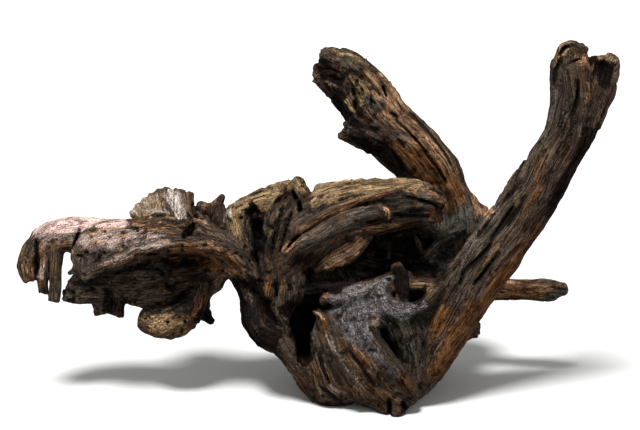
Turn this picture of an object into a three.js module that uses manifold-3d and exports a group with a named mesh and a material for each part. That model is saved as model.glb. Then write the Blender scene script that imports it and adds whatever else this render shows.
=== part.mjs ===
// A piece of driftwood: the weathered root crown of a tree, 0.6 m long, with three broken limbs.
//
// It grew as one piece, so it is one solid. The wood is built up from runs, each a row of stations joined
// into a smooth, tapering length of wood, which melt into each other. Hollows are runs that are taken away.
// The whole is then turned into triangles, thinned, and trimmed flat where it stands.
// Millimetres, +Z up, -Y to the front, origin on the ground under the middle of the piece.

import * as THREE from "three";
import { edgeTable, triTable } from "three/addons/objects/MarchingCubes.js";
import { mergeVertices } from "three/addons/utils/BufferGeometryUtils.js";
import Module from "manifold-3d";

// Stations are read at full size on an upright drawing sheet in front of the wood: millimetres across from
// the sheet's left edge, down from its top edge, and away behind it, then half the width that shows and half
// the depth behind that. The eye looks a little down on the wood, from the sight distance.
const SIGHT_DISTANCE = 1200;
const SIGHT_DIP = THREE.MathUtils.degToRad(12);
const SHEET_MIDDLE = { across: 320, down: 215 };
const GROUND_BELOW_MIDDLE = 181;
const MIDDLE_TO_ORIGIN = { x: -6.6, y: 7.6 };

const GRID = 3; // spacing of the lattice that the wood is sampled on
const STEP = 9; // length of the straight steps that a run is divided into
const REACH = 24; // distance beyond which the air is all alike
const TRIANGLES = 10600;

const AWAY = new THREE.Vector3(0, Math.cos(SIGHT_DIP), -Math.sin(SIGHT_DIP));
const UP = new THREE.Vector3(0, Math.sin(SIGHT_DIP), Math.cos(SIGHT_DIP));

// A station in the part's own frame: x, y, z, half width, half depth.
function place([across, down, away, halfWidth, halfDepth]) {
  const spread = (SIGHT_DISTANCE + away) / SIGHT_DISTANCE;
  const right = (across - SHEET_MIDDLE.across) * spread;
  const up = (SHEET_MIDDLE.down - down) * spread;
  const point = new THREE.Vector3(right, 0, 0).addScaledVector(UP, up).addScaledVector(AWAY, away);
  return [
    point.x - MIDDLE_TO_ORIGIN.x,
    point.y - MIDDLE_TO_ORIGIN.y,
    point.z + GROUND_BELOW_MIDDLE,
    halfWidth * spread,
    halfDepth * spread,
  ];
}

// Smooth noise from -1 to 1, one lump to a unit.
function corner(x, y, z) {
  let h = Math.imul(x, 374761393) + Math.imul(y, 668265263) + Math.imul(z, 1440662683);
  h = Math.imul(h ^ (h >>> 13), 1274126177);
  return ((h ^ (h >>> 16)) >>> 0) / 2147483647.5 - 1;
}

function noise(x, y, z) {
  const [ix, iy, iz] = [Math.floor(x), Math.floor(y), Math.floor(z)];
  const [fx, fy, fz] = [x - ix, y - iy, z - iz].map((t) => t * t * (3 - 2 * t));
  const mix = THREE.MathUtils.lerp;
  const edge = (dy, dz) => mix(corner(ix, iy + dy, iz + dz), corner(ix + 1, iy + dy, iz + dz), fx);
  return mix(mix(edge(0, 0), edge(1, 0), fy), mix(edge(0, 1), edge(1, 1), fy), fz);
}

// A run's stations as straight steps along a smooth curve through them.
function stepsOf(stations) {
  const knots = stations.map(place);
  const smooth = [];
  for (let i = 0; i < knots.length - 1; i++) {
    const [before, from, to, after] = [-1, 0, 1, 2].map(
      (k) => knots[THREE.MathUtils.clamp(i + k, 0, knots.length - 1)],
    );
    const span = Math.hypot(to[0] - from[0], to[1] - from[1], to[2] - from[2]);
    const count = Math.max(1, Math.round(span / STEP));
    for (let j = 0; j < count; j++) {
      const t = j / count;
      smooth.push(
        from.map(
          (value, n) =>
            value +
            0.5 * t * (to[n] - before[n] +
              t * (2 * before[n] - 5 * value + 4 * to[n] - after[n] +
                t * (3 * (value - to[n]) + after[n] - before[n]))),
        ),
      );
    }
  }
  smooth.push(knots.at(-1));

  const steps = [];
  let run = 0;
  for (let i = 0; i < smooth.length - 1; i++) {
    const start = new THREE.Vector3(...smooth[i]);
    const axis = new THREE.Vector3(...smooth[i + 1]).sub(start);
    const length = axis.length();
    axis.normalize();
    const reference = Math.abs(axis.dot(AWAY)) > 0.9 ? UP : AWAY;
    const deep = reference.clone().addScaledVector(axis, -reference.dot(axis)).normalize();
    const wide = new THREE.Vector3().crossVectors(axis, deep);
    steps.push({
      start,
      axis,
      length,
      deep,
      wide,
      run,
      halfWidth: [smooth[i][3], smooth[i + 1][3]],
      halfDepth: [smooth[i][4], smooth[i + 1][4]],
    });
    run += length;
  }
  return steps;
}

// How far a point lies outside a run's surface, and where it lies round and along it. A torn end is cut
// across, with fibres of uneven length.
function outside(steps, x, y, z, torn) {
  let best = { distance: Infinity };
  for (const step of steps) {
    const [rx, ry, rz] = [x - step.start.x, y - step.start.y, z - step.start.z];
    const reach = rx * step.axis.x + ry * step.axis.y + rz * step.axis.z;
    const t = Math.min(1, Math.max(0, reach / step.length));
    const halfWidth = step.halfWidth[0] + t * (step.halfWidth[1] - step.halfWidth[0]);
    const halfDepth = step.halfDepth[0] + t * (step.halfDepth[1] - step.halfDepth[0]);
    const halfEnd = Math.min(halfWidth, halfDepth);
    const a = rx * step.deep.x + ry * step.deep.y + rz * step.deep.z;
    const b = rx * step.wide.x + ry * step.wide.y + rz * step.wide.z;
    const past = reach - t * step.length;
    const [qa, qb, qc] = [a / halfDepth, b / halfWidth, past / halfEnd];
    const f = Math.sqrt(qa * qa + qb * qb + qc * qc);
    const g = Math.sqrt((qa / halfDepth) ** 2 + (qb / halfWidth) ** 2 + (qc / halfEnd) ** 2);
    const distance = g > 1e-6 ? (f * (f - 1)) / g : -halfEnd;
    if (distance < best.distance) best = { distance, a, b, along: step.run + t * step.length };
  }
  if (torn) {
    const last = steps.at(-1);
    const end = last.run + last.length;
    if (best.along > end - 3 * STEP) {
      const past =
        (x - last.start.x) * last.axis.x +
        (y - last.start.y) * last.axis.y +
        (z - last.start.z) * last.axis.z -
        last.length;
      const fibre = noise(best.a / torn.fibre, best.b / torn.fibre, 7.5);
      best.distance = Math.max(best.distance, past - torn.length * fibre);
    }
  }
  return best;
}

// Long grooves and rounded ridges that run with the grain, as rotting leaves them.
function grooves({ a, b, along }, { width, height, stretch = 5, seed = 0 }) {
  const n = noise(a / width, b / width, along / (width * stretch) + 17.3 * seed);
  return height * (n + 0.35);
}

// The wood as a list of runs, in the order in which they join.
const wood = [];
const PLAIN = { width: 15, height: 3.5 };
function grow(name, stations, { join = 12, grain = PLAIN, torn } = {}) {
  wood.push({ name, steps: stepsOf(stations), join, grain, torn, adds: true });
}
function hollow(name, stations, { join = 6, grain = { width: 12, height: 2 } } = {}) {
  wood.push({ name, steps: stepsOf(stations), join, grain, adds: false });
}

// The heart of the stump, behind everything that shows
grow("heart", [
  [345, 235, 30, 34, 32],
  [395, 255, 48, 44, 40],
  [432, 290, 42, 38, 44],
  [412, 332, 25, 34, 44],
  [380, 368, 12, 28, 36],
]);
grow("middle heart", [
  [296, 244, 34, 24, 20],
  [325, 284, 36, 36, 30],
  [352, 330, 26, 34, 36],
], { join: 18 });
grow("crest back", [
  [250, 224, 36, 18, 14],
  [268, 240, 34, 24, 18],
  [290, 266, 32, 20, 20],
], { join: 14 });
grow("nape", [
  [196, 240, 22, 12, 12],
  [216, 236, 26, 12, 12],
  [242, 232, 28, 16, 14],
], { join: 12 });
grow("left heart", [
  [268, 262, 14, 20, 28],
  [284, 300, 12, 26, 34],
  [312, 338, 10, 28, 38],
  [342, 370, 6, 26, 34],
], { join: 16 });

// Left wall of the stump, down to the rear left foot. It is sound dark wood, worn smooth.
grow("left wall", [
  [251.5, 283, 0, 14.5, 22],
  [259, 300, 0, 17, 26],
  [261, 316, 0, 19.5, 28],
  [269, 330, 0, 20, 30],
  [284, 339, 0, 19.5, 30],
  [296, 350, 2, 19.5, 32],
  [306, 363, 4, 20, 30],
  [317, 377, 5, 20, 28],
  [326, 391, 0, 15.5, 20],
  [331, 400, -4, 10, 14],
], { join: 8 });

// Right limb: a broken root that rises from the front foot to a forked, knuckled end.
grow("right limb", [
  [413, 386, -10, 13, 20],
  [427, 363, -9, 20, 28],
  [442.5, 333, -10, 25, 30],
  [461.5, 299, -14, 26.5, 31],
  [484, 269, -19, 26, 29],
  [505.5, 238, -26, 26.5, 27],
  [516, 223, -29, 25.5, 26],
  [533.5, 196, -36, 25, 25],
  [545.5, 175, -42, 24, 24],
  [556, 155, -47, 22.5, 24],
  [567, 137, -51, 23, 23],
  [573.5, 118, -54, 26, 23],
  [578.5, 100, -57, 28, 23],
  [581.5, 82, -60, 29, 22],
  [583.5, 74, -61, 28.5, 20],
], { join: 14, grain: { width: 16, height: 3, stretch: 8, seed: 1 } });
grow("left horn", [
  [571, 85, -60, 18, 19],
  [565.5, 66, -62, 15.5, 16],
  [567.5, 54, -64, 13, 12],
  [576, 52, -64, 9, 8],
], { join: 8, grain: { width: 10, height: 1, seed: 2 } });
grow("beak", [
  [571, 48, -64, 7, 8],
  [581, 50, -64, 5, 6],
  [588.5, 51, -64, 2, 3],
], { join: 4, grain: { width: 6, height: 0.5, seed: 49 } });
grow("right horn", [
  [596, 90, -58, 18, 18],
  [602.5, 75, -57, 16, 16],
  [607, 67, -56, 12.5, 13],
], { join: 6, grain: { width: 10, height: 1, seed: 3 } });
grow("horn finger", [
  [582, 112, -70, 10, 10],
  [579, 90, -76, 12.5, 9],
  [578, 70, -78, 12, 8],
], { join: 5, grain: { width: 9, height: 1, stretch: 6, seed: 88 } });
hollow("fork", [
  [595.5, 42, -75, 4, 30],
  [595, 60, -80, 4, 22],
  [598.5, 80, -84, 4.5, 15],
  [601.5, 100, -82, 3, 10],
], { join: 3 });
hollow("horn recess", [
  [607, 64, -78, 7, 12],
  [606, 77, -81, 7.5, 13],
  [603, 91, -82, 4, 10],
], { join: 3 });
hollow("horn crease", [
  [586, 57, -82, 1.5, 11],
  [576, 60, -86, 2.6, 10],
  [566, 66, -86, 2.6, 9],
  [558, 75, -84, 1.4, 6],
], { join: 2 });

// Rear limb: it leans left behind the others, and its end is broken off on the slant and scooped out by rot.
grow("rear limb", [
  [456, 238, 62, 28, 30],
  [448, 214, 61, 25.5, 31],
  [441.5, 194.5, 60, 25.5, 31],
  [433, 174.5, 59, 26, 31],
  [415, 154.3, 57, 28.3, 31],
  [396, 136.5, 55, 29.3, 31],
  [382, 121.5, 54, 29.6, 30],
  [362, 96, 50, 28.5, 28],
  [351.5, 85, 48, 26.5, 27],
  [341.5, 76, 46, 24.5, 25],
  [332, 70, 44, 19.5, 23],
  [321, 67, 43, 15, 20],
], { join: 12, grain: { width: 17, height: 3, stretch: 7, seed: 4 }, torn: { length: 5, fibre: 7 } });
grow("spur", [
  [373, 138.5, 40, 15.5, 15],
  [358, 134, 34, 12.5, 12],
  [345, 131, 30, 9.5, 10],
], { join: 8, grain: { width: 8, height: 1.5, seed: 5 }, torn: { length: 3, fibre: 5 } });
hollow("oblique break", [
  [328, 66, 2, 12, 27],
  [335, 80, 4, 14, 27],
  [346, 101, 9, 8, 19],
], { join: 4 });
grow("end lip", [
  [325, 57, 34, 4.5, 8],
  [337, 53.5, 36, 4.5, 9],
  [352, 57.5, 36, 5, 9],
  [366, 66, 38, 5, 8],
  [378, 78, 40, 4, 7],
], { join: 3, grain: { width: 6, height: 0.8, stretch: 8, seed: 51 } });

// Front limb: a thick broken stub with a rolled rib along its face and a hollow at its end.
grow("front limb", [
  [288, 268, -14, 20, 30],
  [308, 238, -20, 31, 32],
  [340, 215.5, -22, 30.5, 31],
  [380, 208.2, -22, 26.8, 29],
  [412, 203, -18, 24.2, 26],
  [430, 206, -16, 19, 22],
  [443, 209, -14, 14, 19],
], { join: 12, grain: { width: 16, height: 3, stretch: 7, seed: 6 }, torn: { length: 4, fibre: 9 } });
grow("stub corner", [
  [320, 190, -12, 6, 9],
  [332, 190, -16, 7, 12],
], { join: 5, grain: { width: 6, height: 1, stretch: 4, seed: 64 } });
grow("rolled rib", [
  [283, 263, -38, 7.5, 8],
  [297, 248, -50, 8.5, 9],
  [322, 234.5, -56, 9, 9],
  [345, 221, -58, 9, 9],
  [366, 214, -56, 8, 9],
  [383, 212, -51, 6.5, 8],
], { join: 2.5, grain: { width: 8, height: 0.8, stretch: 6, seed: 7 } });
grow("rib tip", [
  [380, 207.5, -57, 4, 5],
  [387.5, 210.5, -58, 4, 5],
  [387, 217.5, -56, 3.5, 5],
], { join: 2, grain: { width: 6, height: 0.5, seed: 52 } });
hollow("rib groove", [
  [283, 252, -46, 1.5, 8],
  [296, 238, -55, 2, 10],
  [312, 227, -58, 2.2, 11],
  [328, 217.5, -60, 2.2, 11],
  [345, 210, -59, 1.8, 10],
  [360, 205, -56, 1.4, 8],
  [376, 201, -52, 1, 5],
], { join: 1.5 });
hollow("under the rib", [
  [308, 259, -56, 2, 5],
  [333, 247, -60, 2.2, 5],
  [362, 232, -59, 2.2, 5],
  [386, 224, -54, 2, 4],
], { join: 3 });
grow("ridge over the groove", [
  [300, 231, -52, 2.6, 5],
  [326, 215, -54, 3, 5],
  [352, 203.5, -53, 3, 5],
  [378, 195, -48, 3, 5],
  [402, 188, -41, 2.5, 4],
], { join: 5, grain: { width: 5, height: 1.2, stretch: 4, seed: 66 } });
hollow("stub end", [
  [448, 213, -38, 9, 16],
  [438, 214, -34, 7, 14],
], { join: 5 });

// Crest: it arches over the neck of the left arm, rough and bleached on top, with a deep dark fold under it.
grow("crest", [
  [241, 215, 22, 11, 20],
  [253, 207, 14, 13, 26],
  [276, 201.5, 6, 16.5, 30],
  [292, 197.5, 2, 16, 30],
  [300, 214, 0, 17, 30],
], { join: 8, grain: { width: 10, height: 2, stretch: 4, seed: 8 } });
grow("crest knob", [
  [290, 187, -18, 5, 8],
  [298, 184, -20, 5.5, 9],
  [303, 192, -24, 5, 8],
], { join: 3, grain: { width: 4, height: 3, stretch: 1.5, seed: 63 } });
grow("crest face", [
  [272, 274, -12, 13, 26],
  [277, 244, -12, 16, 28],
  [284, 216, -8, 17, 28],
  [292, 200, -2, 15, 26],
], { join: 9, grain: { width: 12, height: 2, seed: 47 } });
grow("left lobe", [
  [240, 216, 16, 13, 20],
  [243, 236, 12, 14, 22],
  [249, 258, 8, 14, 22],
  [258, 284, 2, 13, 22],
], { join: 9, grain: { width: 10, height: 2.5, seed: 9 } });
hollow("fold", [
  [251, 199, -14, 2.5, 14],
  [254, 214, -24, 6, 24],
  [256, 236, -28, 8.5, 32],
  [258, 260, -30, 7.5, 30],
  [264, 284, -30, 4, 22],
], { join: 3 });
grow("inner leaf of the fold", [
  [249, 206, -2, 3, 8],
  [247, 220, -3, 4.5, 8],
  [248, 236, -4, 5, 8],
  [253, 250, -6, 4, 8],
], { join: 2, grain: { width: 3, height: 1, stretch: 8, seed: 86 } });
hollow("under the crest", [
  [267, 214, -40, 3.5, 14],
  [276, 203, -38, 4.5, 13],
  [288, 194, -32, 3.5, 10],
], { join: 3 });

// Knotted lobes at the foot of the crest, where the limbs part.
grow("left knot", [
  [268, 258, -30, 5, 8],
  [271, 274, -32, 6, 9],
  [269, 292, -30, 6.5, 9],
], { join: 3, grain: { width: 6, height: 2, stretch: 3, seed: 75 } });
grow("middle knot", [
  [281, 262, -34, 5, 8],
  [284, 282, -35, 5.5, 9],
  [286, 300, -31, 7, 10],
], { join: 3, grain: { width: 6, height: 1.5, stretch: 3, seed: 76 } });
grow("right knot", [
  [296, 262, -36, 6, 8],
  [299, 278, -36, 7, 9],
  [296, 296, -31, 7, 10],
], { join: 3, grain: { width: 6, height: 2, stretch: 3, seed: 77 } });
grow("grey folds", [
  [278, 306, -26, 8, 10],
  [290, 322, -24, 9, 11],
  [301, 340, -16, 6, 9],
], { join: 5, grain: { width: 7, height: 2.5, stretch: 3, seed: 78 } });
grow("pale lump", [
  [280, 340, -24, 5, 7],
  [288, 352, -24, 5, 7],
  [296, 366, -20, 4, 6],
], { join: 4, grain: { width: 5, height: 2, stretch: 2, seed: 79 } });

// Left arm: a hollow shell of outer wood, open to the front under a rolled rim.
grow("arm back", [
  [250, 276, 8, 12, 18],
  [224, 261, 14, 15, 16],
  [198, 271, 22, 29, 13],
  [160, 276, 22, 34, 12],
  [125, 275, 18, 26, 11],
  [95, 280, 12, 19, 10],
  [80, 286, 6, 13, 9],
], { join: 10, grain: { width: 13, height: 2, seed: 10 } });
grow("arm top", [
  [238, 260, 0, 12, 20],
  [214, 243, -4, 15, 26],
  [182, 234, -6, 17, 30],
  [150, 237, -8, 19, 31],
  [120, 243, -10, 21, 28],
  [99, 250, -12, 21, 24],
  [89, 259, -13, 15, 18],
], { join: 10, grain: { width: 12, height: 2, stretch: 3, seed: 11 } });
hollow("arm bowl", [
  [94, 288, -30, 4, 12],
  [115, 283, -28, 9, 18],
  [145, 279, -26, 15, 24],
  [175, 280, -24, 19, 26],
  [200, 278, -22, 14, 22],
  [214, 272, -20, 6, 14],
], { join: 6 });
grow("rolled rim", [
  [262, 290, -18, 7, 12],
  [250, 270, -24, 8, 12],
  [236, 256, -30, 8, 12],
  [214, 247, -34, 7.5, 12],
  [184, 245, -37, 7.5, 12],
  [156, 249, -37, 7.5, 12],
  [132, 257, -34, 7.5, 12],
  [108, 267, -28, 8, 12],
  [90, 275, -22, 8, 10],
], { join: 7, grain: { width: 10, height: 0.8, stretch: 8, seed: 12 } });
grow("fist", [
  [94, 248, -20, 12, 12],
  [84, 252, -18, 10, 12],
  [88, 264, -14, 7, 9],
], { join: 8, grain: { width: 10, height: 1.5, stretch: 4, seed: 13 } });
grow("first fold of the fist", [
  [76, 250, -20, 4, 6],
  [75, 260, -22, 3.6, 6],
  [77, 267, -20, 3, 5],
], { join: 2, grain: { width: 4, height: 0.6, stretch: 6, seed: 67 } });
grow("second fold of the fist", [
  [84, 250, -24, 4.4, 7],
  [83.5, 264, -25, 4.2, 7],
  [85, 276, -22, 3.4, 6],
], { join: 2, grain: { width: 4, height: 0.6, stretch: 6, seed: 68 } });
grow("third fold of the fist", [
  [93.5, 250, -26, 4.4, 7],
  [93, 264, -28, 4.4, 7],
  [93, 274, -26, 3.6, 6],
], { join: 2, grain: { width: 4, height: 0.6, stretch: 6, seed: 69 } });
grow("fourth fold of the fist", [
  [102.5, 252, -27, 4.2, 7],
  [102, 264, -29, 4.2, 7],
  [102, 271, -28, 3.6, 6],
], { join: 2, grain: { width: 4, height: 0.6, stretch: 6, seed: 70 } });
grow("flake", [
  [82, 273, -14, 4, 5],
  [75, 269.5, -14, 3, 4],
  [70, 272.5, -13, 2, 3],
], { join: 3, grain: { width: 4, height: 1.2, stretch: 3, seed: 53 } });
hollow("arm hole", [
  [184, 238, -38, 3, 8],
  [190, 230, -34, 5, 11],
  [195, 221, -24, 4, 10],
], { join: 3 });
grow("low knuckles", [
  [148, 222, -8, 4, 9],
  [158, 219, -4, 5, 9],
  [168, 218, 0, 5, 9],
], { join: 4, grain: { width: 5, height: 3, stretch: 1.3, seed: 87 } });
grow("knuckles", [
  [174, 216, 2, 5, 9],
  [188, 215, 4, 6, 10],
  [202, 223, 4, 6, 11],
  [211, 235, -4, 6, 12],
], { join: 4, grain: { width: 5, height: 3.4, stretch: 1.2, seed: 50 } });
hollow("rim groove", [
  [142, 257, -46, 1.2, 5],
  [166, 250, -50, 2, 6],
  [192, 250, -49, 2, 6],
  [216, 256, -45, 1.8, 6],
  [234, 267, -40, 1.2, 5],
], { join: 2 });
grow("lower lobe", [
  [151, 320.5, 8, 13.5, 14],
  [168, 323, 2, 16, 17],
  [185, 316, 0, 14.5, 16],
  [197, 300, 2, 9, 12],
  [202, 285, 6, 7.5, 12],
], { join: 8, grain: { width: 10, height: 2, seed: 14 } });
grow("tab", [
  [108, 294, 14, 14, 8],
  [108, 306, 14, 14, 7],
  [108, 315, 14, 14, 6],
], { join: 6, torn: { length: 2, fibre: 7 } });
grow("jaw", [
  [102, 293, 8, 10, 9],
  [82, 293, 2, 10, 9],
  [66, 291, -2, 9.5, 8],
], { join: 6, grain: { width: 6, height: 2.5, stretch: 3, seed: 15 }, torn: { length: 3, fibre: 3 } });
grow("shell spike", [
  [204, 276, 26, 8, 8],
  [202, 300, 30, 7.5, 7],
  [203.5, 314, 34, 8, 6],
  [210.5, 320.5, 34, 4.5, 4],
], { join: 6 });

// Claws: the arm tears into three blunt points, bleached pink where they lay uppermost.
grow("claw root", [
  [112, 232, 4, 12, 18],
  [85, 231, 2, 13, 18],
  [62, 232, -2, 13.5, 17],
  [44, 240, -6, 13, 16],
  [33, 254, -10, 9, 14],
], { join: 8, grain: { width: 10, height: 1, seed: 16 } });
grow("root lip", [
  [60, 244, -10, 8, 10],
  [74, 243, -10, 9, 10],
], { join: 5, grain: { width: 8, height: 1.5, stretch: 3, seed: 54 } });
grow("outer claw", [
  [30, 250, -10, 9, 11],
  [25.5, 266, -14, 8.5, 9],
  [30.5, 280.5, -16, 6.5, 6],
], { join: 5, grain: { width: 5, height: 1.5, stretch: 6, seed: 17 }, torn: { length: 3, fibre: 3 } });
grow("middle claw", [
  [43, 252, -10, 7.5, 9],
  [42, 270, -12, 6.5, 7],
  [43.5, 292, -13, 5, 5],
], { join: 4, grain: { width: 5, height: 1, stretch: 6, seed: 18 }, torn: { length: 4, fibre: 3 } });
grow("inner claw", [
  [57, 246, -8, 8, 10],
  [55.5, 268, -10, 5.6, 8],
  [55, 286, -11, 5.6, 7],
  [53.5, 301, -11, 5.6, 5],
], { join: 3, grain: { width: 5, height: 0.8, stretch: 6, seed: 19 }, torn: { length: 2, fibre: 3 } });

// Crown: a torn collar that fans out behind the arm, ridged, grey and thin.
const CROWN_TIPS = [
  [132, 213, 34],
  [137, 206, 37],
  [144, 200.5, 40],
  [151, 195.5, 41],
  [158.5, 191.5, 42],
  [166, 189.5, 42],
];
const CROWN_ROOT = [172, 246];
CROWN_TIPS.forEach(([across, down, away], i) => {
  const [rootAcross, rootDown] = CROWN_ROOT;
  grow(`crown blade ${i + 1}`, [
    [0.3 * across + 0.7 * rootAcross, rootDown, 2, 6, 10],
    [0.62 * across + 0.38 * rootAcross, 0.5 * (down + rootDown) - 5, 0.5 * away, 5, 7],
    [across, down, away, 4.4, 4.5],
  ], {
    join: 2.5,
    grain: { width: 5, height: 0.8, stretch: 6, seed: 20 + i },
    torn: { length: 2, fibre: 3 },
  });
});
grow("crown lobe", [
  [184, 244, 2, 12, 12],
  [178, 222, 16, 11, 9],
  [175, 206, 28, 10.5, 7],
  [175.5, 190.5, 38, 9.5, 4.5],
], { join: 5, grain: { width: 8, height: 0.4, stretch: 6, seed: 55 }, torn: { length: 2.5, fibre: 4 } });
grow("curled lobe", [
  [193, 238, 8, 7, 9],
  [188.5, 216, 22, 5, 7],
  [188.5, 193.5, 34, 5.5, 5],
], { join: 4, grain: { width: 6, height: 0.5, stretch: 6, seed: 56 }, torn: { length: 2, fibre: 3 } });
hollow("crown dish", [
  [181, 226, -8, 8, 12],
  [176, 206, 10, 8, 12],
  [173, 190, 24, 7, 10],
], { join: 6 });
grow("dark blade", [
  [202, 240, 20, 12, 12],
  [201, 222, 24, 10, 8],
  [202.5, 208, 26, 9, 6],
], { join: 6, grain: { width: 8, height: 1, seed: 28 } });
grow("crown spike", [
  [208, 238, 24, 12, 11],
  [212, 218, 26, 9, 8],
  [217, 205, 28, 6, 6],
  [222, 197, 28, 3.5, 4],
], { join: 6, grain: { width: 10, height: 0.5, seed: 30 } });
hollow("crown mouth", [
  [193, 200, 18, 3, 12],
  [194, 212, 10, 3.5, 14],
  [200, 226, 2, 4, 14],
], { join: 3 });
grow("pale lumps", [
  [224, 212, 26, 3.5, 5],
  [224, 220, 24, 4, 6],
], { join: 3, grain: { width: 4, height: 1, stretch: 3, seed: 80 } });

// Saddle: a rough grey blanket of worn wood that runs over the front of the stump and down to the toes.
grow("saddle", [
  [338, 314, -24, 16, 26],
  [362, 308, -24, 24, 32],
  [392, 300, -18, 25, 32],
  [420, 300, -10, 22, 28],
], { join: 10, grain: { width: 14, height: 2, seed: 31 } });
grow("ramp", [
  [352, 316, -32, 22, 26],
  [356, 342, -36, 24, 24],
  [372, 368, -36, 21, 22],
  [388, 388, -34, 16, 18],
  [400, 398, -34, 12, 13],
], { join: 10, grain: { width: 12, height: 1.5, stretch: 8, seed: 34 } });
grow("lower face", [
  [322, 358, -14, 20, 22],
  [333, 384, -12, 20, 20],
  [358, 385, -14, 17, 22],
  [382, 393, -18, 16, 20],
], { join: 10, grain: { width: 15, height: 1.5, seed: 37 } });
grow("toe", [
  [372, 392, -24, 12, 14],
  [388, 404, -32, 11.5, 12],
  [396, 410, -38, 9, 9],
], { join: 6, grain: { width: 10, height: 1, seed: 38 } });
grow("upper toe", [
  [400, 387, -34, 9, 10],
  [411, 396, -36, 8, 8],
], { join: 5, grain: { width: 10, height: 1, seed: 44 } });
hollow("cavity", [
  [340, 299, -46, 4, 16],
  [322, 308, -36, 9, 32],
  [303, 321, -28, 14.5, 40],
  [303, 338, -26, 9.5, 34],
  [304, 357, -22, 8, 28],
], { join: 4 });
hollow("cleft", [
  [312, 274, -40, 4, 18],
  [340, 275, -34, 7, 34],
  [368, 267, -20, 12, 34],
  [400, 254, -6, 14, 25],
  [432, 240, 4, 12, 20],
], { join: 6 });
grow("cavity brow", [
  [296, 287, -24, 7, 10],
  [310, 287, -33, 6, 9],
  [326, 286, -37, 5, 8],
  [348, 287, -38, 4, 7],
], { join: 4, grain: { width: 5, height: 1.5, stretch: 3, seed: 82 } });
grow("smooth wall", [
  [400, 312, -34, 17, 20],
  [407, 332, -32, 17, 18],
  [412, 352, -28, 14, 16],
  [416, 376, -22, 9, 13],
], { join: 8, grain: { width: 14, height: 1, stretch: 6, seed: 83 } });
hollow("wall hollow", [
  [370, 332, -66, 3, 11],
  [388, 350, -62, 5, 12],
  [402, 368, -58, 5.5, 12],
  [412, 388, -52, 4, 10],
], { join: 5 });
grow("recess fold", [
  [352, 262, -18, 3, 6],
  [374, 256, -14, 3.5, 6],
  [396, 262, -12, 3, 6],
  [420, 262, -16, 3.5, 6],
  [440, 268, -22, 3, 6],
], { join: 4, grain: { width: 5, height: 1, stretch: 3, seed: 61 } });
hollow("bowl", [
  [398, 297, -54, 6, 13],
  [413, 300, -50, 8, 22],
  [428, 296, -44, 6.5, 19],
], { join: 4 });
grow("fuzzy pad", [
  [408, 284, -34, 4, 6],
  [420, 284, -36, 5, 7],
  [432, 286, -34, 4, 6],
], { join: 4, grain: { width: 3, height: 1.6, stretch: 2, seed: 81 } });
hollow("saddle dip", [
  [384, 290, -50, 3.5, 12],
  [389, 277, -42, 5, 12],
], { join: 3 });
grow("saddle edge", [
  [325, 299, -38, 5, 8],
  [344, 295, -44, 7, 12],
  [366, 289, -38, 8, 14],
  [392, 279, -28, 8, 14],
  [404, 277, -26, 8, 12],
], { join: 7, grain: { width: 10, height: 1, seed: 32 } });
grow("saddle post", [
  [397, 268, -30, 6, 8],
  [401, 281, -38, 6.5, 9],
  [402, 297, -42, 6, 9],
], { join: 3, grain: { width: 5, height: 1.2, stretch: 4, seed: 71 } });
grow("crescent lip", [
  [380, 288, -42, 6, 8],
  [383, 302, -46, 6, 9],
  [394, 311, -47, 6, 9],
  [410, 311, -45, 6, 9],
  [426, 302, -40, 6, 9],
  [436, 292, -34, 6, 9],
], { join: 8 });
grow("cavity rim", [
  [319, 313, -32, 5, 8],
  [324, 330, -38, 7, 12],
  [334, 352, -40, 8, 12],
  [347, 374, -38, 8, 12],
  [362, 394, -32, 7, 10],
], { join: 10 });
grow("long fin", [
  [334, 316, -42, 6, 8],
  [348, 338, -50, 7, 10],
  [366, 362, -49, 7, 10],
  [384, 384, -44, 6, 8],
], { join: 10 });
grow("ramp edge", [
  [362, 326, -46, 6, 10],
  [376, 346, -50, 8, 12],
  [394, 368, -46, 8, 12],
  [408, 388, -40, 6, 9],
], { join: 10 });
grow("torn ledge", [
  [318, 268.5, -38, 4, 6],
  [334, 258, -44, 10, 7],
  [350, 250, -45, 11.5, 6],
  [362, 242, -41, 7, 5],
  [370, 237, -37, 3, 4],
], { join: 2.5, grain: { width: 4, height: 1.5, stretch: 6, seed: 57 }, torn: { length: 3, fibre: 3 } });
grow("beak nub", [
  [324, 298, -52, 3.5, 5],
  [334, 300, -54, 3.5, 5],
  [345, 297, -54, 3, 4],
], { join: 3, grain: { width: 4, height: 1.5, stretch: 3, seed: 72 } });
grow("long fin crest", [
  [340, 328, -52, 2, 4],
  [354, 345, -58, 2.4, 4],
  [372, 366, -56, 2.4, 4],
  [386, 386, -48, 2, 4],
], { join: 3, grain: { width: 6, height: 0.5, stretch: 6, seed: 58 } });
grow("rim fin crest", [
  [324, 328, -47, 2, 4],
  [334, 352, -51, 2.2, 4],
  [346, 374, -49, 2.2, 4],
  [358, 398, -40, 2, 4],
], { join: 3, grain: { width: 6, height: 0.5, stretch: 6, seed: 59 } });
grow("ramp edge crest", [
  [366, 330, -58, 2.2, 4],
  [379, 347, -61, 2.5, 4],
  [396, 369, -57, 2.5, 4],
  [410, 388, -49, 2, 4],
], { join: 3, grain: { width: 6, height: 1, stretch: 3, seed: 60 } });

// Low branch, and the worn swellings on the right side of the stump.
grow("low branch", [
  [438, 296, 62, 20, 22],
  [470, 290, 66, 15, 15],
  [505, 289, 66, 12, 12],
  [535, 291, 64, 11.5, 11],
  [553, 290.5, 62, 10, 10],
  [565, 290, 62, 6.5, 7],
], { join: 10, grain: { width: 6, height: 2, stretch: 4, seed: 40 }, torn: { length: 2, fibre: 3 } });
grow("shoulder", [
  [458, 222, 66, 26, 30],
  [478, 216, 68, 11, 15],
], { join: 10, grain: { width: 10, height: 1, seed: 41 } });
grow("burl", [
  [452, 322, 34, 22, 24],
  [469, 327, 36, 11, 14],
], { join: 8, grain: { width: 10, height: 1, seed: 42 } });

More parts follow.
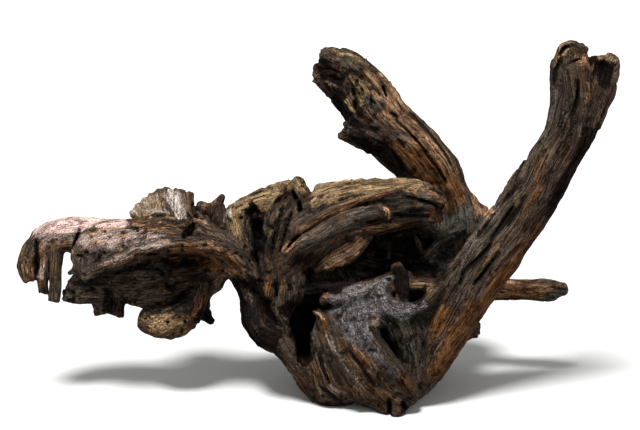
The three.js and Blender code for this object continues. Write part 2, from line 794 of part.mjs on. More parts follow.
// Rear roots: two short props behind the stump, worn to stubs, that it stands on with its front toes.
grow("rear buttress", [
  [456, 222, 64, 26, 30],
  [452, 256, 68, 28, 32],
  [438, 292, 68, 27, 30],
  [420, 325, 80, 24, 26],
  [404, 345, 94, 19, 20],
  [397, 355, 100, 16, 16],
], { join: 16, grain: { width: 13, height: 3, stretch: 8, seed: 43 } });
grow("middle buttress", [
  [330, 215, 14, 22, 24],
  [344, 250, 44, 24, 24],
  [352, 290, 60, 24, 24],
  [352, 325, 74, 20, 20],
  [346, 348, 88, 15, 16],
  [343, 357, 92, 14, 14],
], { join: 16, grain: { width: 12, height: 3, stretch: 8, seed: 45 } });
grow("back stub", [
  [292, 296, 30, 22, 24],
  [286, 286, 62, 16, 16],
  [284, 280, 84, 13, 13],
], { join: 12, grain: { width: 10, height: 1.5, seed: 48 }, torn: { length: 4, fibre: 7 } });
hollow("back hollow", [
  [392, 240, 110, 9, 20],
  [396, 280, 124, 14, 34],
  [384, 318, 128, 12, 30],
  [374, 345, 126, 8, 24],
], { join: 10 });
hollow("back knot hole", [
  [318, 262, 96, 9, 20],
  [318, 266, 72, 8, 12],
], { join: 6 });

// The wood's signed distance on a lattice: negative inside.
function sample() {
  const box = new THREE.Box3();
  for (const piece of wood) {
    piece.box = new THREE.Box3();
    for (const step of piece.steps) {
      const size = Math.max(...step.halfWidth, ...step.halfDepth) + (piece.torn ? piece.torn.length : 0);
      for (const point of [step.start, step.start.clone().addScaledVector(step.axis, step.length)]) {
        piece.box.expandByPoint(point.clone().addScalar(size));
        piece.box.expandByPoint(point.clone().addScalar(-size));
      }
    }
    if (piece.adds) box.union(piece.box);
  }
  box.expandByScalar(3 * GRID);
  const counts = ["x", "y", "z"].map((k) => Math.ceil((box.max[k] - box.min[k]) / GRID) + 1);
  const values = new Float32Array(counts[0] * counts[1] * counts[2]).fill(REACH);
  for (const piece of wood) {
    const margin = Math.max(piece.join, REACH / 2) + 4;
    const range = ["x", "y", "z"].map((k, n) => [
      Math.max(0, Math.floor((piece.box.min[k] - margin - box.min[k]) / GRID)),
      Math.min(counts[n] - 1, Math.ceil((piece.box.max[k] + margin - box.min[k]) / GRID)),
    ]);
    for (let k = range[2][0]; k <= range[2][1]; k++)
      for (let j = range[1][0]; j <= range[1][1]; j++)
        for (let i = range[0][0]; i <= range[0][1]; i++) {
          const [x, y, z] = [box.min.x + i * GRID, box.min.y + j * GRID, box.min.z + k * GRID];
          const at = i + counts[0] * (j + counts[1] * k);
          const here = outside(piece.steps, x, y, z, piece.torn);
          if (here.distance > margin) continue;
          const distance = here.distance - grooves(here, piece.grain);
          values[at] = piece.adds
            ? melt(values[at], distance, piece.join)
            : -melt(-values[at], distance, piece.join);
        }
  }
  return { values, counts, box };
}

// The lower of two distances, rounded where they are alike.
function melt(a, b, join) {
  const h = Math.max(join - Math.abs(a - b), 0) / join;
  return Math.min(a, b) - (h * h * join) / 4;
}

// Marching cubes: corner offsets and edges in the order of the three.js tables.
const CORNERS = [
  [0, 0, 0], [1, 0, 0], [1, 1, 0], [0, 1, 0],
  [0, 0, 1], [1, 0, 1], [1, 1, 1], [0, 1, 1],
];
const EDGES = [
  [0, 1], [1, 2], [3, 2], [0, 3],
  [4, 5], [5, 6], [7, 6], [4, 7],
  [0, 4], [1, 5], [2, 6], [3, 7],
];
function surface({ values, counts, box }) {
  const points = [];
  const faces = [];
  const known = new Map();
  const index = (i, j, k) => i + counts[0] * (j + counts[1] * k);
  const pointOn = (cell, [from, to]) => {
    const [p, q] = [CORNERS[from], CORNERS[to]].map((c) => c.map((n, d) => n + cell[d]));
    const [u, v] = [index(...p), index(...q)];
    const key = u * 3 + (q[0] > p[0] ? 0 : q[1] > p[1] ? 1 : 2);
    if (!known.has(key)) {
      const t = THREE.MathUtils.clamp(values[u] / (values[u] - values[v]), 0.04, 0.96);
      known.set(key, points.length);
      points.push(["x", "y", "z"].map((d, n) => box.min[d] + GRID * (p[n] + t * (q[n] - p[n]))));
    }
    return known.get(key);
  };
  for (let k = 0; k < counts[2] - 1; k++)
    for (let j = 0; j < counts[1] - 1; j++)
      for (let i = 0; i < counts[0] - 1; i++) {
        let code = 0;
        CORNERS.forEach(([di, dj, dk], n) => {
          if (values[index(i + di, j + dj, k + dk)] < 0) code |= 1 << n;
        });
        if (!edgeTable[code]) continue;
        for (let n = 16 * code; triTable[n] !== -1; n += 3)
          faces.push([2, 1, 0].map((m) => pointOn([i, j, k], EDGES[triTable[n + m]])));
      }
  return { points, faces };
}

// The largest connected body of a mesh, with its unused points dropped.
function largestBody({ points, faces }) {
  const parent = points.map((_, i) => i);
  const root = (i) => {
    while (parent[i] !== i) i = parent[i] = parent[parent[i]];
    return i;
  };
  for (const [a, b, c] of faces) {
    parent[root(a)] = root(b);
    parent[root(b)] = root(c);
  }
  const size = new Map();
  for (const [a] of faces) size.set(root(a), (size.get(root(a)) || 0) + 1);
  const [largest] = [...size].sort((p, q) => q[1] - p[1])[0];
  const kept = faces.filter(([a]) => root(a) === largest);
  const number = new Map();
  const numbered = kept.map((face) =>
    face.map((p) => {
      if (!number.has(p)) number.set(p, number.size);
      return number.get(p);
    }),
  );
  return { points: [...number.keys()].map((p) => points[p]), faces: numbered };
}

// Thins a closed mesh by collapsing the edge whose loss changes the surface least, again and again.
function thin({ points, faces }, target) {
  const quadrics = points.map(() => new Float64Array(10));
  const around = points.map(() => new Set());
  const minus = (p, q) => [p[0] - q[0], p[1] - q[1], p[2] - q[2]];
  const cross = (p, q) => [p[1] * q[2] - p[2] * q[1], p[2] * q[0] - p[0] * q[2], p[0] * q[1] - p[1] * q[0]];
  const dot = (p, q) => p[0] * q[0] + p[1] * q[1] + p[2] * q[2];
  const normalOf = (a, b, c) => cross(minus(b, a), minus(c, a));
  faces.forEach((face, f) => {
    const [a, b, c] = face.map((p) => points[p]);
    const n = normalOf(a, b, c);
    const size = Math.hypot(...n) || 1e-9;
    const [x, y, z] = n.map((v) => v / size);
    const w = -dot([x, y, z], a);
    const q = [x * x, x * y, x * z, x * w, y * y, y * z, y * w, z * z, z * w, w * w];
    for (const p of face) {
      around[p].add(f);
      q.forEach((v, i) => (quadrics[p][i] += v * size));
    }
  });
  const error = (q, [x, y, z]) =>
    q[0] * x * x + 2 * q[1] * x * y + 2 * q[2] * x * z + 2 * q[3] * x + q[4] * y * y +
    2 * q[5] * y * z + 2 * q[6] * y + q[7] * z * z + 2 * q[8] * z + q[9];
  const bestPoint = (q, a, b) => {
    const m = new THREE.Matrix3(q[0], q[1], q[2], q[1], q[4], q[5], q[2], q[5], q[7]);
    const scale = Math.cbrt(Math.abs(q[0] * q[4] * q[7])) || 1;
    const middle = a.map((v, i) => (v + b[i]) / 2);
    if (Math.abs(m.determinant()) > 1e-3 * scale ** 3) {
      const p = new THREE.Vector3(-q[3], -q[6], -q[8]).applyMatrix3(m.invert()).toArray();
      if (Math.hypot(...minus(p, middle)) < 2 * Math.hypot(...minus(a, b))) return p;
    }
    return [a, b, middle].sort((p, r) => error(q, p) - error(q, r))[0];
  };

  const stamp = new Uint32Array(points.length);
  const heap = [];
  const push = (item) => {
    let i = heap.push(item) - 1;
    while (i > 0 && heap[(i - 1) >> 1].cost > item.cost) {
      heap[i] = heap[(i - 1) >> 1];
      i = (i - 1) >> 1;
    }
    heap[i] = item;
  };
  const pop = () => {
    const top = heap[0];
    const last = heap.pop();
    if (!heap.length) return top;
    let i = 0;
    for (;;) {
      let child = 2 * i + 1;
      if (child >= heap.length) break;
      if (child + 1 < heap.length && heap[child + 1].cost < heap[child].cost) child++;
      if (heap[child].cost >= last.cost) break;
      heap[i] = heap[child];
      i = child;
    }
    heap[i] = last;
    return top;
  };
  const offer = (u, v) => {
    const q = quadrics[u].map((value, i) => value + quadrics[v][i]);
    const to = bestPoint(q, points[u], points[v]);
    push({ u, v, q, to, cost: error(q, to), stamps: [stamp[u], stamp[v]] });
  };
  for (const [a, b, c] of faces) for (const [u, v] of [[a, b], [b, c], [c, a]]) if (u < v) offer(u, v);

  const alive = faces.map(() => true);
  let count = faces.length;
  const neighbours = (p) => new Set([...around[p]].flatMap((f) => faces[f]));
  const turnsOver = (p, other, to) =>
    [...around[p]].some((f) => {
      if (faces[f].includes(other)) return false;
      const before = normalOf(...faces[f].map((r) => points[r]));
      const after = normalOf(...faces[f].map((r) => (r === p ? to : points[r])));
      return dot(before, after) < 0.3 * Math.hypot(...before) * Math.hypot(...after);
    });
  while (count > target && heap.length) {
    const { u, v, q, to, stamps } = pop();
    if (stamps[0] !== stamp[u] || stamps[1] !== stamp[v]) continue;
    const nearV = neighbours(v);
    const shared = [...neighbours(u)].filter((p) => nearV.has(p));
    if (shared.length !== 4 || turnsOver(u, v, to) || turnsOver(v, u, to)) continue;
    points[u] = to;
    quadrics[u] = q;
    for (const f of around[v]) {
      if (faces[f].includes(u)) {
        alive[f] = false;
        count--;
        for (const p of faces[f]) if (p !== v) around[p].delete(f);
      } else {
        faces[f] = faces[f].map((p) => (p === v ? u : p));
        around[u].add(f);
      }
    }
    around[v].clear();
    stamp[v]++;
    stamp[u]++;
    for (const p of neighbours(u)) {
      if (p === u) continue;
      offer(Math.min(u, p), Math.max(u, p));
    }
  }
  return { points, faces: faces.filter((_, f) => alive[f]) };
}

function geometryOf({ points, faces }) {
  return new THREE.BufferGeometry()
    .setAttribute("position", new THREE.Float32BufferAttribute(points.flat(), 3))
    .setIndex(faces.flat());
}

// The feet are trimmed flat where they stand on the ground.
const wasm = await Module();
wasm.setup();
function solidOf(geometry) {
  const bare = geometry.clone();
  bare.deleteAttribute("normal");
  bare.deleteAttribute("uv");
  const merged = mergeVertices(bare, 1e-4);
  return new wasm.Manifold(
    new wasm.Mesh({
      numProp: 3,
      vertProperties: merged.attributes.position.array,
      triVerts: new Uint32Array(merged.index.array),
    }),
  );
}
function trimFeet(geometry) {
  const ground = new THREE.BoxGeometry(900, 900, 100).translate(0, 0, -50);
  const trimmed = solidOf(geometry).subtract(solidOf(ground)).getMesh();
  return new THREE.BufferGeometry()
    .setAttribute("position", new THREE.BufferAttribute(trimmed.vertProperties, 3))
    .setIndex(new THREE.BufferAttribute(trimmed.triVerts, 1));
}

const body = largestBody(surface(sample()));
const geometry = trimFeet(geometryOf(thin(body, TRIANGLES)));
geometry.computeVertexNormals();

const driftwood = new THREE.Mesh(
  geometry,
  new THREE.MeshStandardMaterial({ color: 0x4a3a2f, roughness: 0.85, metalness: 0 }),
);
driftwood.name = "driftwood";

const group = new THREE.Group();
group.add(driftwood);
export default group;
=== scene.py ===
import math

import bpy
import numpy as np
import openvdb
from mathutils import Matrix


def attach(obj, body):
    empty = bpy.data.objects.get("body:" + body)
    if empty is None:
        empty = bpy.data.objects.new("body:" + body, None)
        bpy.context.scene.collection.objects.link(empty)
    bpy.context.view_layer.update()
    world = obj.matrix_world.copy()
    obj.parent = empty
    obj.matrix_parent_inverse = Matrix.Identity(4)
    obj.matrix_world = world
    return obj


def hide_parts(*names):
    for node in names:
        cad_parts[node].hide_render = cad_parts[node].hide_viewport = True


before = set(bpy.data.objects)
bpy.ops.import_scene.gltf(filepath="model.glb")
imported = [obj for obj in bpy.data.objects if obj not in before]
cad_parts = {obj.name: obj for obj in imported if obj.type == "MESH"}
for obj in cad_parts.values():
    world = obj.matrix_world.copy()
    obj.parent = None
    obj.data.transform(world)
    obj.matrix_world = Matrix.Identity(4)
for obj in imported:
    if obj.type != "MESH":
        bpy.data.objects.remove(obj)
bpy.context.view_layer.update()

# The stump: the thick solid middle of the root crown, behind everything that shows. It is sound old wood.
# It and all that grows from it are drawn as runs: rows of stations, joined into smooth lengths of wood that
# are grown, or hollowed out, one after another.
SIGHT_DISTANCE = 1200
SIGHT_DIP = math.radians(12)
SHEET_MIDDLE = (320, 215)
MIDDLE = np.array([6.6, -7.6, 181])
RIGHT = np.array([1.0, 0.0, 0.0])
AWAY = np.array([0, math.cos(SIGHT_DIP), -math.sin(SIGHT_DIP)])
UP = np.array([0, math.sin(SIGHT_DIP), math.cos(SIGHT_DIP)])
STEP = 9
NEARLY_ALONG = 0.9
PLAIN_GRAIN = (15, 3.5, 5, 0)


def in_frame(stations):
    """Stations of the drawing sheet, in the part's own frame: x, y, z, half width, half depth.

    The sheet is upright and is seen from in front and a little above. A station says, in millimetres, how
    far across, down and behind it the wood lies, then half the width that shows and half the depth.
    """
    across, down, away, half_width, half_depth = np.array(stations, float).T
    spread = (SIGHT_DISTANCE + away) / SIGHT_DISTANCE
    right = (across - SHEET_MIDDLE[0]) * spread
    up = (SHEET_MIDDLE[1] - down) * spread
    points = MIDDLE + np.outer(right, RIGHT) + np.outer(up, UP) + np.outer(away, AWAY)
    return np.column_stack([points, half_width * spread, half_depth * spread])


def smooth_line(knots):
    """Knots joined by a smooth curve, with a point every few millimetres."""
    line = []
    last = len(knots) - 1
    for i in range(last):
        before, start, end, after = (knots[min(max(i + k, 0), last)] for k in (-1, 0, 1, 2))
        count = max(1, round(float(np.linalg.norm((end - start)[:3])) / STEP))
        for t in np.arange(count) / count:
            bend = t * (2 * before - 5 * start + 4 * end - after)
            twist = t * t * (3 * (start - end) + after - before)
            line.append(start + 0.5 * t * (end - before + bend + twist))
    return np.array(line + [knots[-1]])


class Run:
    """A length of wood, or of hollow, in straight steps along its smooth line.

    Its grain is the width and height of the flutes, how many times longer they are than wide, and a seed.
    Its torn end, if it has one, is uneven by a length in fibres of a width.
    """

    def __init__(self, name, stations, join, grain, torn, adds):
        self.name, self.join, self.grain, self.torn, self.adds = name, join, grain, torn, adds
        self.part = len(parts) - 1
        line = smooth_line(in_frame(stations))
        self.start = line[:-1, :3]
        span = line[1:, :3] - self.start
        self.length = np.linalg.norm(span, axis=1)
        self.axis = span / self.length[:, None]
        along_sight = np.abs(self.axis @ AWAY) > NEARLY_ALONG
        reference = np.where(along_sight[:, None], UP, AWAY)
        deep = reference - (reference * self.axis).sum(1)[:, None] * self.axis
        self.deep = deep / np.linalg.norm(deep, axis=1)[:, None]
        self.wide = np.cross(self.axis, self.deep)
        self.half_width = line[:, 3]
        self.half_depth = line[:, 4]
        self.so_far = np.concatenate([[0], np.cumsum(self.length)])
        size = np.maximum(line[:, 3], line[:, 4])[:, None] + (torn[0] if torn else 0)
        self.low = (line[:, :3] - size).min(0)
        self.high = (line[:, :3] + size).max(0)


parts = []
runs = []
stains = []


def new_part(name, flutes=1.0, cracks=1.0, pits=0.3, lumps=1.0):
    """The runs and stains that follow belong to this part, which is worn this much in each way."""
    parts.append((name, flutes, cracks, pits, lumps))


def grow(name, stations, join=12, grain=PLAIN_GRAIN, torn=None):
    """Wood along these stations, which melts into what it meets over the length of the join."""
    runs.append(Run(name, stations, join, grain, torn, True))


def stain(tone, amount, *rows, everywhere=False):
    """Colour in soft rows of spots on the sheet, on this part's wood: (across, down, radius)."""
    stains.append((tone, amount, rows, -1 if everywhere else len(parts) - 1))


new_part("stump", flutes=1.0, cracks=0.8, pits=0.5)
grow("heart", [
    (345, 235, 30, 34, 32), (395, 255, 48, 44, 40), (432, 290, 42, 38, 44), (412, 332, 25, 34, 44),
    (380, 368, 12, 28, 36),
])
grow("middle heart", [(296, 244, 34, 24, 20), (325, 284, 36, 36, 30), (352, 330, 26, 34, 36)], join=18)
grow("crest back", [(250, 224, 36, 18, 14), (268, 240, 34, 24, 18), (290, 266, 32, 20, 20)], join=14)
grow("nape", [(196, 240, 22, 12, 12), (216, 236, 26, 12, 12), (242, 232, 28, 16, 14)], join=12)
grow("left heart", [
    (268, 262, 14, 20, 28), (284, 300, 12, 26, 34), (312, 338, 10, 28, 38), (342, 370, 6, 26, 34),
], join=16)
# The first two rows are on the dark wood under the front limb; the last row is painted shade in the cavity.
stain("char", 0.8, [(395, 262, 26), (430, 245, 30), (462, 232, 26)], [(430, 275, 16), (400, 285, 10)],
      [(290, 300, 20), (300, 330, 22)])
stain("slate", 0.8, [(376, 240, 2), (388, 234, 2), (402, 238, 2), (405, 250, 2), (396, 258, 2)],
      everywhere=True)
stain("slate", 0.7, [(386, 246, 1), (394, 244, 1), (397, 251, 1)],
      [(410, 262, 2), (424, 256, 2), (436, 262, 2)], everywhere=True)
stain("tan", 0.6, [(462, 234, 3), (448, 246, 4), (432, 256, 3)], everywhere=True)
stain("slate", 1.0, [(420, 246, 5), (444, 230, 7), (464, 214, 8)],
      [(440, 254, 5), (456, 240, 6), (472, 224, 5)], everywhere=True)
# Painted highlight: pale ash along the raised streaks of the recess.
stain("ash", 0.3, [(426, 242, 4), (446, 226, 5), (464, 212, 5)], [(444, 250, 4), (460, 236, 4)],
      everywhere=True)
stain("slate", 0.6, [(430, 225, 14), (462, 215, 16)])
stain("tan", 0.8, [(222, 222, 8), (228, 236, 9), (232, 250, 6)])

# Left wall of the stump, down to the rear left foot. It is sound dark wood, worn smooth, and it grew out of
# the heart of the stump with no seam.
new_part("left wall", flutes=0.7, cracks=0.6)
grow("left wall", [
    (251.5, 283, 0, 14.5, 22), (259, 300, 0, 17, 26), (261, 316, 0, 19.5, 28), (269, 330, 0, 20, 30),
    (284, 339, 0, 19.5, 30), (296, 350, 2, 19.5, 32), (306, 363, 4, 20, 30), (317, 377, 5, 20, 28),
    (326, 391, 0, 15.5, 20), (331, 400, -4, 10, 14),
], join=8)
stain("umber", 1.0, [(240, 285, 16), (252, 310, 20), (264, 334, 14), (278, 352, 8)])
stain("rust", 0.45, [(300, 372, 14), (325, 392, 14)])
stain("char", 0.8, [(244, 300, 10), (252, 320, 10)])
stain("umber", 1.6, [(248, 298, 18), (256, 320, 18), (268, 334, 10)], everywhere=True)
stain("tan", 0.3, [(256, 300, 3), (260, 310, 3)])

# Right limb: a broken root that rises from the front foot to a forked, knuckled end. It is sound wood, grey
# and green on the side to the sky and rusty underneath. Drying has opened long cracks along it, and rot has
# hollowed its fork.
HOLLOW_GRAIN = (12, 2, 5, 0)
CRACK_GRAIN = (8, 0.4, 5, 0)
CRACK_JOIN = 1.5


def hollow(name, stations, join=6, grain=HOLLOW_GRAIN):
    """Wood that is gone along these stations."""
    runs.append(Run(name, stations, join, grain, None, False))


def crack(*stations, deep=6):
    """A drying crack: a sharp, narrow hollow. Its stations are across, down, away and half the width."""
    runs.append(Run("crack", [(*s, deep) for s in stations], CRACK_JOIN, CRACK_GRAIN, None, False))


new_part("right limb", flutes=0.55, cracks=1.0, pits=0.3, lumps=0.6)
grow("right limb", [
    (413, 386, -10, 13, 20), (427, 363, -9, 20, 28), (442.5, 333, -10, 25, 30),
    (461.5, 299, -14, 26.5, 31), (484, 269, -19, 26, 29), (505.5, 238, -26, 26.5, 27),
    (516, 223, -29, 25.5, 26), (533.5, 196, -36, 25, 25), (545.5, 175, -42, 24, 24),
    (556, 155, -47, 22.5, 24), (567, 137, -51, 23, 23), (573.5, 118, -54, 26, 23),
    (578.5, 100, -57, 28, 23), (581.5, 82, -60, 29, 22), (583.5, 74, -61, 28.5, 20),
], join=14, grain=(16, 3, 8, 1))
grow("left horn", [
    (571, 85, -60, 18, 19), (565.5, 66, -62, 15.5, 16), (567.5, 54, -64, 13, 12), (576, 52, -64, 9, 8),
], join=8, grain=(10, 1, 5, 2))
grow("beak", [
    (571, 46, -64, 6, 8), (581, 48, -66, 5.5, 6), (589.5, 50, -68, 3, 4),
], join=3, grain=(6, 0.5, 5, 49))
grow("right horn", [
    (596, 90, -58, 18, 18), (602.5, 75, -57, 16, 16), (607, 67, -56, 12.5, 13),
], join=6, grain=(10, 1, 5, 3))
grow("horn finger", [
    (582, 112, -70, 10, 10), (579, 90, -76, 12.5, 9), (578, 70, -78, 12, 8),
], join=5, grain=(9, 1, 6, 88))
hollow("fork", [
    (595.5, 42, -75, 4, 30), (595, 60, -80, 4, 22), (598.5, 80, -84, 4.5, 15), (601.5, 100, -82, 3, 10),
], join=3)
hollow("horn recess", [(607, 64, -78, 7, 12), (606, 77, -81, 7.5, 13), (603, 91, -82, 4, 10)], join=3)
hollow("horn crease", [
    (586, 57, -82, 1.5, 11), (576, 60, -86, 2.6, 10), (566, 66, -86, 2.6, 9), (558, 75, -84, 1.4, 6),
], join=2)
crack((513.5, 207, -53, 0.8), (502, 225, -52, 1.8), (492, 239, -50, 1.0), deep=9)
crack((491, 244, -50, 0.8), (479, 259, -48, 2.0), (464, 272, -43, 1.2), (460, 284, -41, 0.7), deep=9)
crack((499, 252, -49, 0.6), (487, 268, -48, 1.1), (474, 284, -46, 0.6))
crack((526, 196, -61, 0.6), (520, 207, -60, 1.0), (508, 226, -56, 0.6))
crack((561, 58, -73, 0.8), (556, 70, -75, 1.0), (554, 84, -75, 0.7))
crack((572, 45, -73, 0.8), (564, 48, -72, 1.5), (560, 54, -71, 0.8))
crack((578, 80, -82, 0.6), (577, 100, -82, 1.0), (570, 124, -80, 0.6))
stain("olive", 0.6,
      [(452, 282, 14), (488, 228, 14), (522, 176, 11), (545, 135, 9), (562, 95, 12), (566, 66, 10)])
stain("dove", 0.6, [(462, 254, 7), (488, 217, 8), (508, 188, 7), (524, 168, 4)],
      [(546, 120, 4), (554, 92, 4)])
stain("slate", 0.3, [(470, 250, 8), (500, 212, 8), (524, 172, 5)])
stain("tan", 0.45, [(494, 212, 5), (508, 190, 5), (520, 172, 4)], [(484, 262, 4), (500, 240, 4)])
stain("rust", 0.7, [(436, 324, 10), (442, 312, 8)])
stain("umber", 0.5, [(430, 344, 8), (448, 300, 8), (458, 288, 7)], [(424, 340, 7), (430, 356, 6)])
stain("rust", 0.85, [(440, 372, 12), (462, 338, 14), (486, 305, 12), (515, 265, 8), (540, 232, 8)])
stain("rust", 0.5, [(543, 152, 3), (538, 170, 5), (533, 196, 5), (524, 216, 4)],
      [(574, 72, 4), (578, 82, 5)])
stain("straw", 0.7, [(560, 50, 5), (570, 44, 5)], [(600, 56, 4), (612, 60, 4)])
stain("tan", 0.6, [(560, 50, 6), (556, 64, 4)], [(604, 56, 5), (614, 62, 4)], [(580, 62, 4), (592, 66, 4)])
stain("tan", 0.55, [(505, 205, 5), (526, 172, 5), (545, 148, 5)], [(590, 84, 3), (586, 104, 4)])
stain("flesh", 0.6, [(577, 58, 3), (586, 62, 3)], [(588, 84, 2), (590, 98, 2)])
stain("umber", 0.8, [(606, 66, 8), (604, 84, 6)], [(555, 215, 10), (575, 175, 10), (592, 130, 8)])
stain("umber", 0.6, [(562, 150, 9), (568, 118, 9)])
stain("slate", 0.6, [(425, 328, 9)], [(428, 352, 9), (408, 372, 6)])

# Rear limb: it leans left behind the others. Its end is broken off on the slant and scooped out by rot, with
# a pale lip left round it, and a short spur is torn off below.
new_part("rear limb", flutes=0.9, cracks=1.2, pits=0.4, lumps=0.8)
grow("rear limb", [
    (456, 238, 62, 28, 30), (448, 214, 61, 25.5, 31), (441.5, 194.5, 60, 25.5, 31),
    (433, 174.5, 59, 26, 31), (415, 154.3, 57, 28.3, 31), (396, 136.5, 55, 29.3, 31),
    (382, 121.5, 54, 29.6, 30), (362, 96, 50, 28.5, 28), (351.5, 85, 48, 26.5, 27),
    (341.5, 76, 46, 24.5, 25), (332, 70, 44, 19.5, 23), (321, 67, 43, 15, 20),
], join=12, grain=(17, 3, 7, 4), torn=(5, 7))
grow("spur", [
    (373, 138.5, 40, 15.5, 15), (358, 134, 34, 12.5, 12), (345, 131, 30, 9.5, 10),
], join=8, grain=(8, 1.5, 5, 5), torn=(3, 5))
hollow("oblique break", [(328, 66, 2, 12, 27), (335, 80, 4, 14, 27), (346, 101, 9, 8, 19)], join=4)
grow("end lip", [
    (325, 57, 34, 4.5, 8), (337, 53.5, 36, 4.5, 9), (352, 57.5, 36, 5, 9), (366, 66, 38, 5, 8),
    (378, 78, 40, 4, 7),
], join=3, grain=(6, 0.8, 8, 51))
grow("splinter", [(363, 63, 34, 1.6, 1.6), (368, 56, 34, 1.0, 1.0)], join=1, grain=(6, 0, 5, 0))
crack((345, 104, 26, 0.8), (353, 118, 22, 1.4), (364, 126, 20, 1.4), (378, 129, 22, 0.8))
crack((410, 112, 32, 0.4), (424, 126, 31, 0.7), (441, 147, 31, 0.8), (451, 164, 34, 0.4))
crack((396, 120, 27, 0.4), (412, 136, 26, 0.7), (427, 153, 28, 0.4))
crack((424, 152, 27, 0.4), (436, 166, 28, 0.6), (446, 182, 30, 0.4))
crack((353, 89, 22, 1.0), (354, 94, 22, 1.4), deep=9)
crack((355, 101, 22, 1.4), (356, 107, 22, 2.0), deep=9)
crack((383, 86, 30, 0.7), (384, 91, 30, 1.3), (386, 97, 30, 0.8))
crack((371, 97, 26, 0.6), (372, 103, 25, 1.0))
crack((391, 113, 26, 1.0), (397, 117, 26, 1.0))
crack((398, 140, 26, 0.6), (404, 146, 26, 0.8))
stain("tan", 0.85,
      [(360, 78, 8), (384, 92, 14), (408, 118, 16), (428, 142, 15), (446, 172, 12), (456, 194, 9)])
stain("umber", 0.45, [(380, 128, 6), (398, 144, 7)])
stain("flesh", 0.85, [(378, 78, 5), (392, 94, 6), (402, 106, 5), (414, 120, 4)],
      [(420, 132, 3), (434, 148, 3)])
stain("straw", 0.8, [(334, 50, 2), (350, 56, 2), (364, 64, 3)])
stain("straw", 1.2, [(363, 84, 7), (357, 97, 8), (351, 107, 5)])
stain("straw", 0.35, [(366, 112, 4), (386, 122, 4)])
stain("slate", 0.7, [(368, 101, 4), (382, 104, 5), (386, 96, 3)])
stain("olive", 0.7, [(344, 60, 4), (358, 72, 6)])
stain("straw", 0.7, [(352, 60, 3), (366, 68, 4), (376, 78, 4)])
stain("rust", 0.9, [(412, 156, 10), (432, 176, 14), (448, 196, 14)], [(396, 146, 5), (410, 160, 6)])
stain("slate", 0.55, [(411, 112, 3), (428, 130, 3), (446, 150, 3), (456, 168, 4)])
stain("tan", 0.6, [(436, 138, 2), (452, 162, 3), (460, 184, 4)])
# Dark umber in the scooped break; the later rows are painted shade under the limb and where the spur meets
# it.
stain("umber", 0.9, [(324, 66, 8), (332, 80, 9), (338, 96, 7)], [(336, 102, 5), (352, 122, 5)],
      [(358, 136, 7), (378, 148, 9), (398, 164, 7)])
stain("olive", 0.8, [(348, 124, 6), (362, 132, 5)])

# Front limb: a thick broken stub of tan and straw heartwood. A rolled rib lies along its face, below a dark
# groove, and its end has rotted to a hollow.
new_part("front limb", flutes=0.6, cracks=0.7, pits=0.3, lumps=0.7)
grow("front limb", [
    (288, 268, -14, 20, 30), (308, 238, -20, 31, 32), (340, 215.5, -22, 30.5, 31),
    (380, 208.2, -22, 26.8, 29), (412, 203, -18, 24.2, 26), (430, 206, -16, 19, 22),
    (443, 209, -14, 14, 19),
], join=12, grain=(16, 3, 7, 6), torn=(4, 9))
grow("stub corner", [(320, 190, -12, 6, 9), (332, 190, -16, 7, 12)], join=5, grain=(6, 1, 4, 64))
grow("stub bump", [(374, 182, -20, 3.5, 6), (379, 184, -20, 3.5, 6)], join=4, grain=(4, 1.5, 2, 65))
hollow("top channel", [(312, 212, -50, 5, 4), (345, 200, -51, 6, 4), (388, 191, -46, 4, 3)], join=6)
hollow("dimple", [(313, 208, -52, 5, 7), (323, 206, -52, 5, 7)], join=3)
grow("rolled rib", [
    (283, 263, -38, 7.5, 8), (297, 248, -50, 8.5, 9), (322, 234.5, -56, 9, 9), (345, 221, -58, 9, 9),
    (366, 214, -56, 8, 9), (383, 212, -51, 6.5, 8),
], join=2.5, grain=(8, 0.8, 6, 7))
grow("rib tip", [
    (380, 207.5, -57, 4, 5), (387.5, 210.5, -58, 4, 5), (387, 217.5, -56, 3.5, 5),
], join=2, grain=(6, 0.5, 5, 52))
hollow("rib groove", [
    (283, 252, -46, 1.5, 8), (296, 238, -55, 2, 10), (312, 227, -58, 2.2, 11), (328, 217.5, -60, 2.2, 11),
    (345, 210, -59, 1.8, 10), (360, 205, -56, 1.4, 8), (376, 201, -52, 1, 5),
], join=1.5)
hollow("under the rib", [
    (308, 259, -56, 2, 5), (333, 247, -60, 2.2, 5), (362, 232, -59, 2.2, 5), (386, 224, -54, 2, 4),
], join=3)
grow("ridge over the groove", [
    (300, 231, -52, 2.6, 5), (326, 215, -54, 3, 5), (352, 203.5, -53, 3, 5), (378, 195, -48, 3, 5),
    (402, 188, -41, 2.5, 4),
], join=5, grain=(5, 1.2, 4, 66))
crack((404, 196, -49, 0.6), (424, 201, -42, 1.0), (438, 206, -36, 0.7))
crack((396, 214, -50, 0.5), (418, 216, -44, 0.9), (432, 216, -38, 0.6))
hollow("stub end", [(448, 213, -38, 9, 16), (438, 214, -34, 7, 14)], join=5)
stain("straw", 1.0, [(320, 190, 9), (345, 189, 9), (372, 185, 8), (396, 183, 7), (420, 183, 6)])
stain("olive", 0.7, [(312, 214, 8), (335, 207, 5)], [(402, 206, 12), (420, 210, 10)])
stain("dove", 0.45, [(398, 204, 7), (424, 206, 7)])
stain("olive", 0.4, [(326, 208, 5), (352, 201, 4)])
stain("slate", 0.25, [(330, 206, 3), (352, 199, 4), (378, 192, 3), (396, 187, 3)])
stain("tan", 0.6, [(330, 200, 4), (352, 196, 4), (372, 192, 4)])
stain("straw", 0.8, [(316, 203, 5), (340, 199, 5), (366, 194, 5)])
stain("rust", 0.6, [(300, 230, 3), (326, 214, 4), (352, 203, 4), (380, 194, 3), (404, 187, 3)])
stain("tan", 0.8, [(296, 234, 3), (326, 215, 3), (352, 204, 3), (380, 195, 3)],
      [(412, 188, 5), (428, 186, 5)], [(434, 194, 4), (446, 202, 5), (450, 210, 4)])
stain("slate", 0.6, [(300, 247, 6), (325, 235, 6), (350, 221, 6), (372, 212, 5)])
stain("dove", 0.3, [(318, 236, 3), (344, 221, 3), (366, 211, 3)])
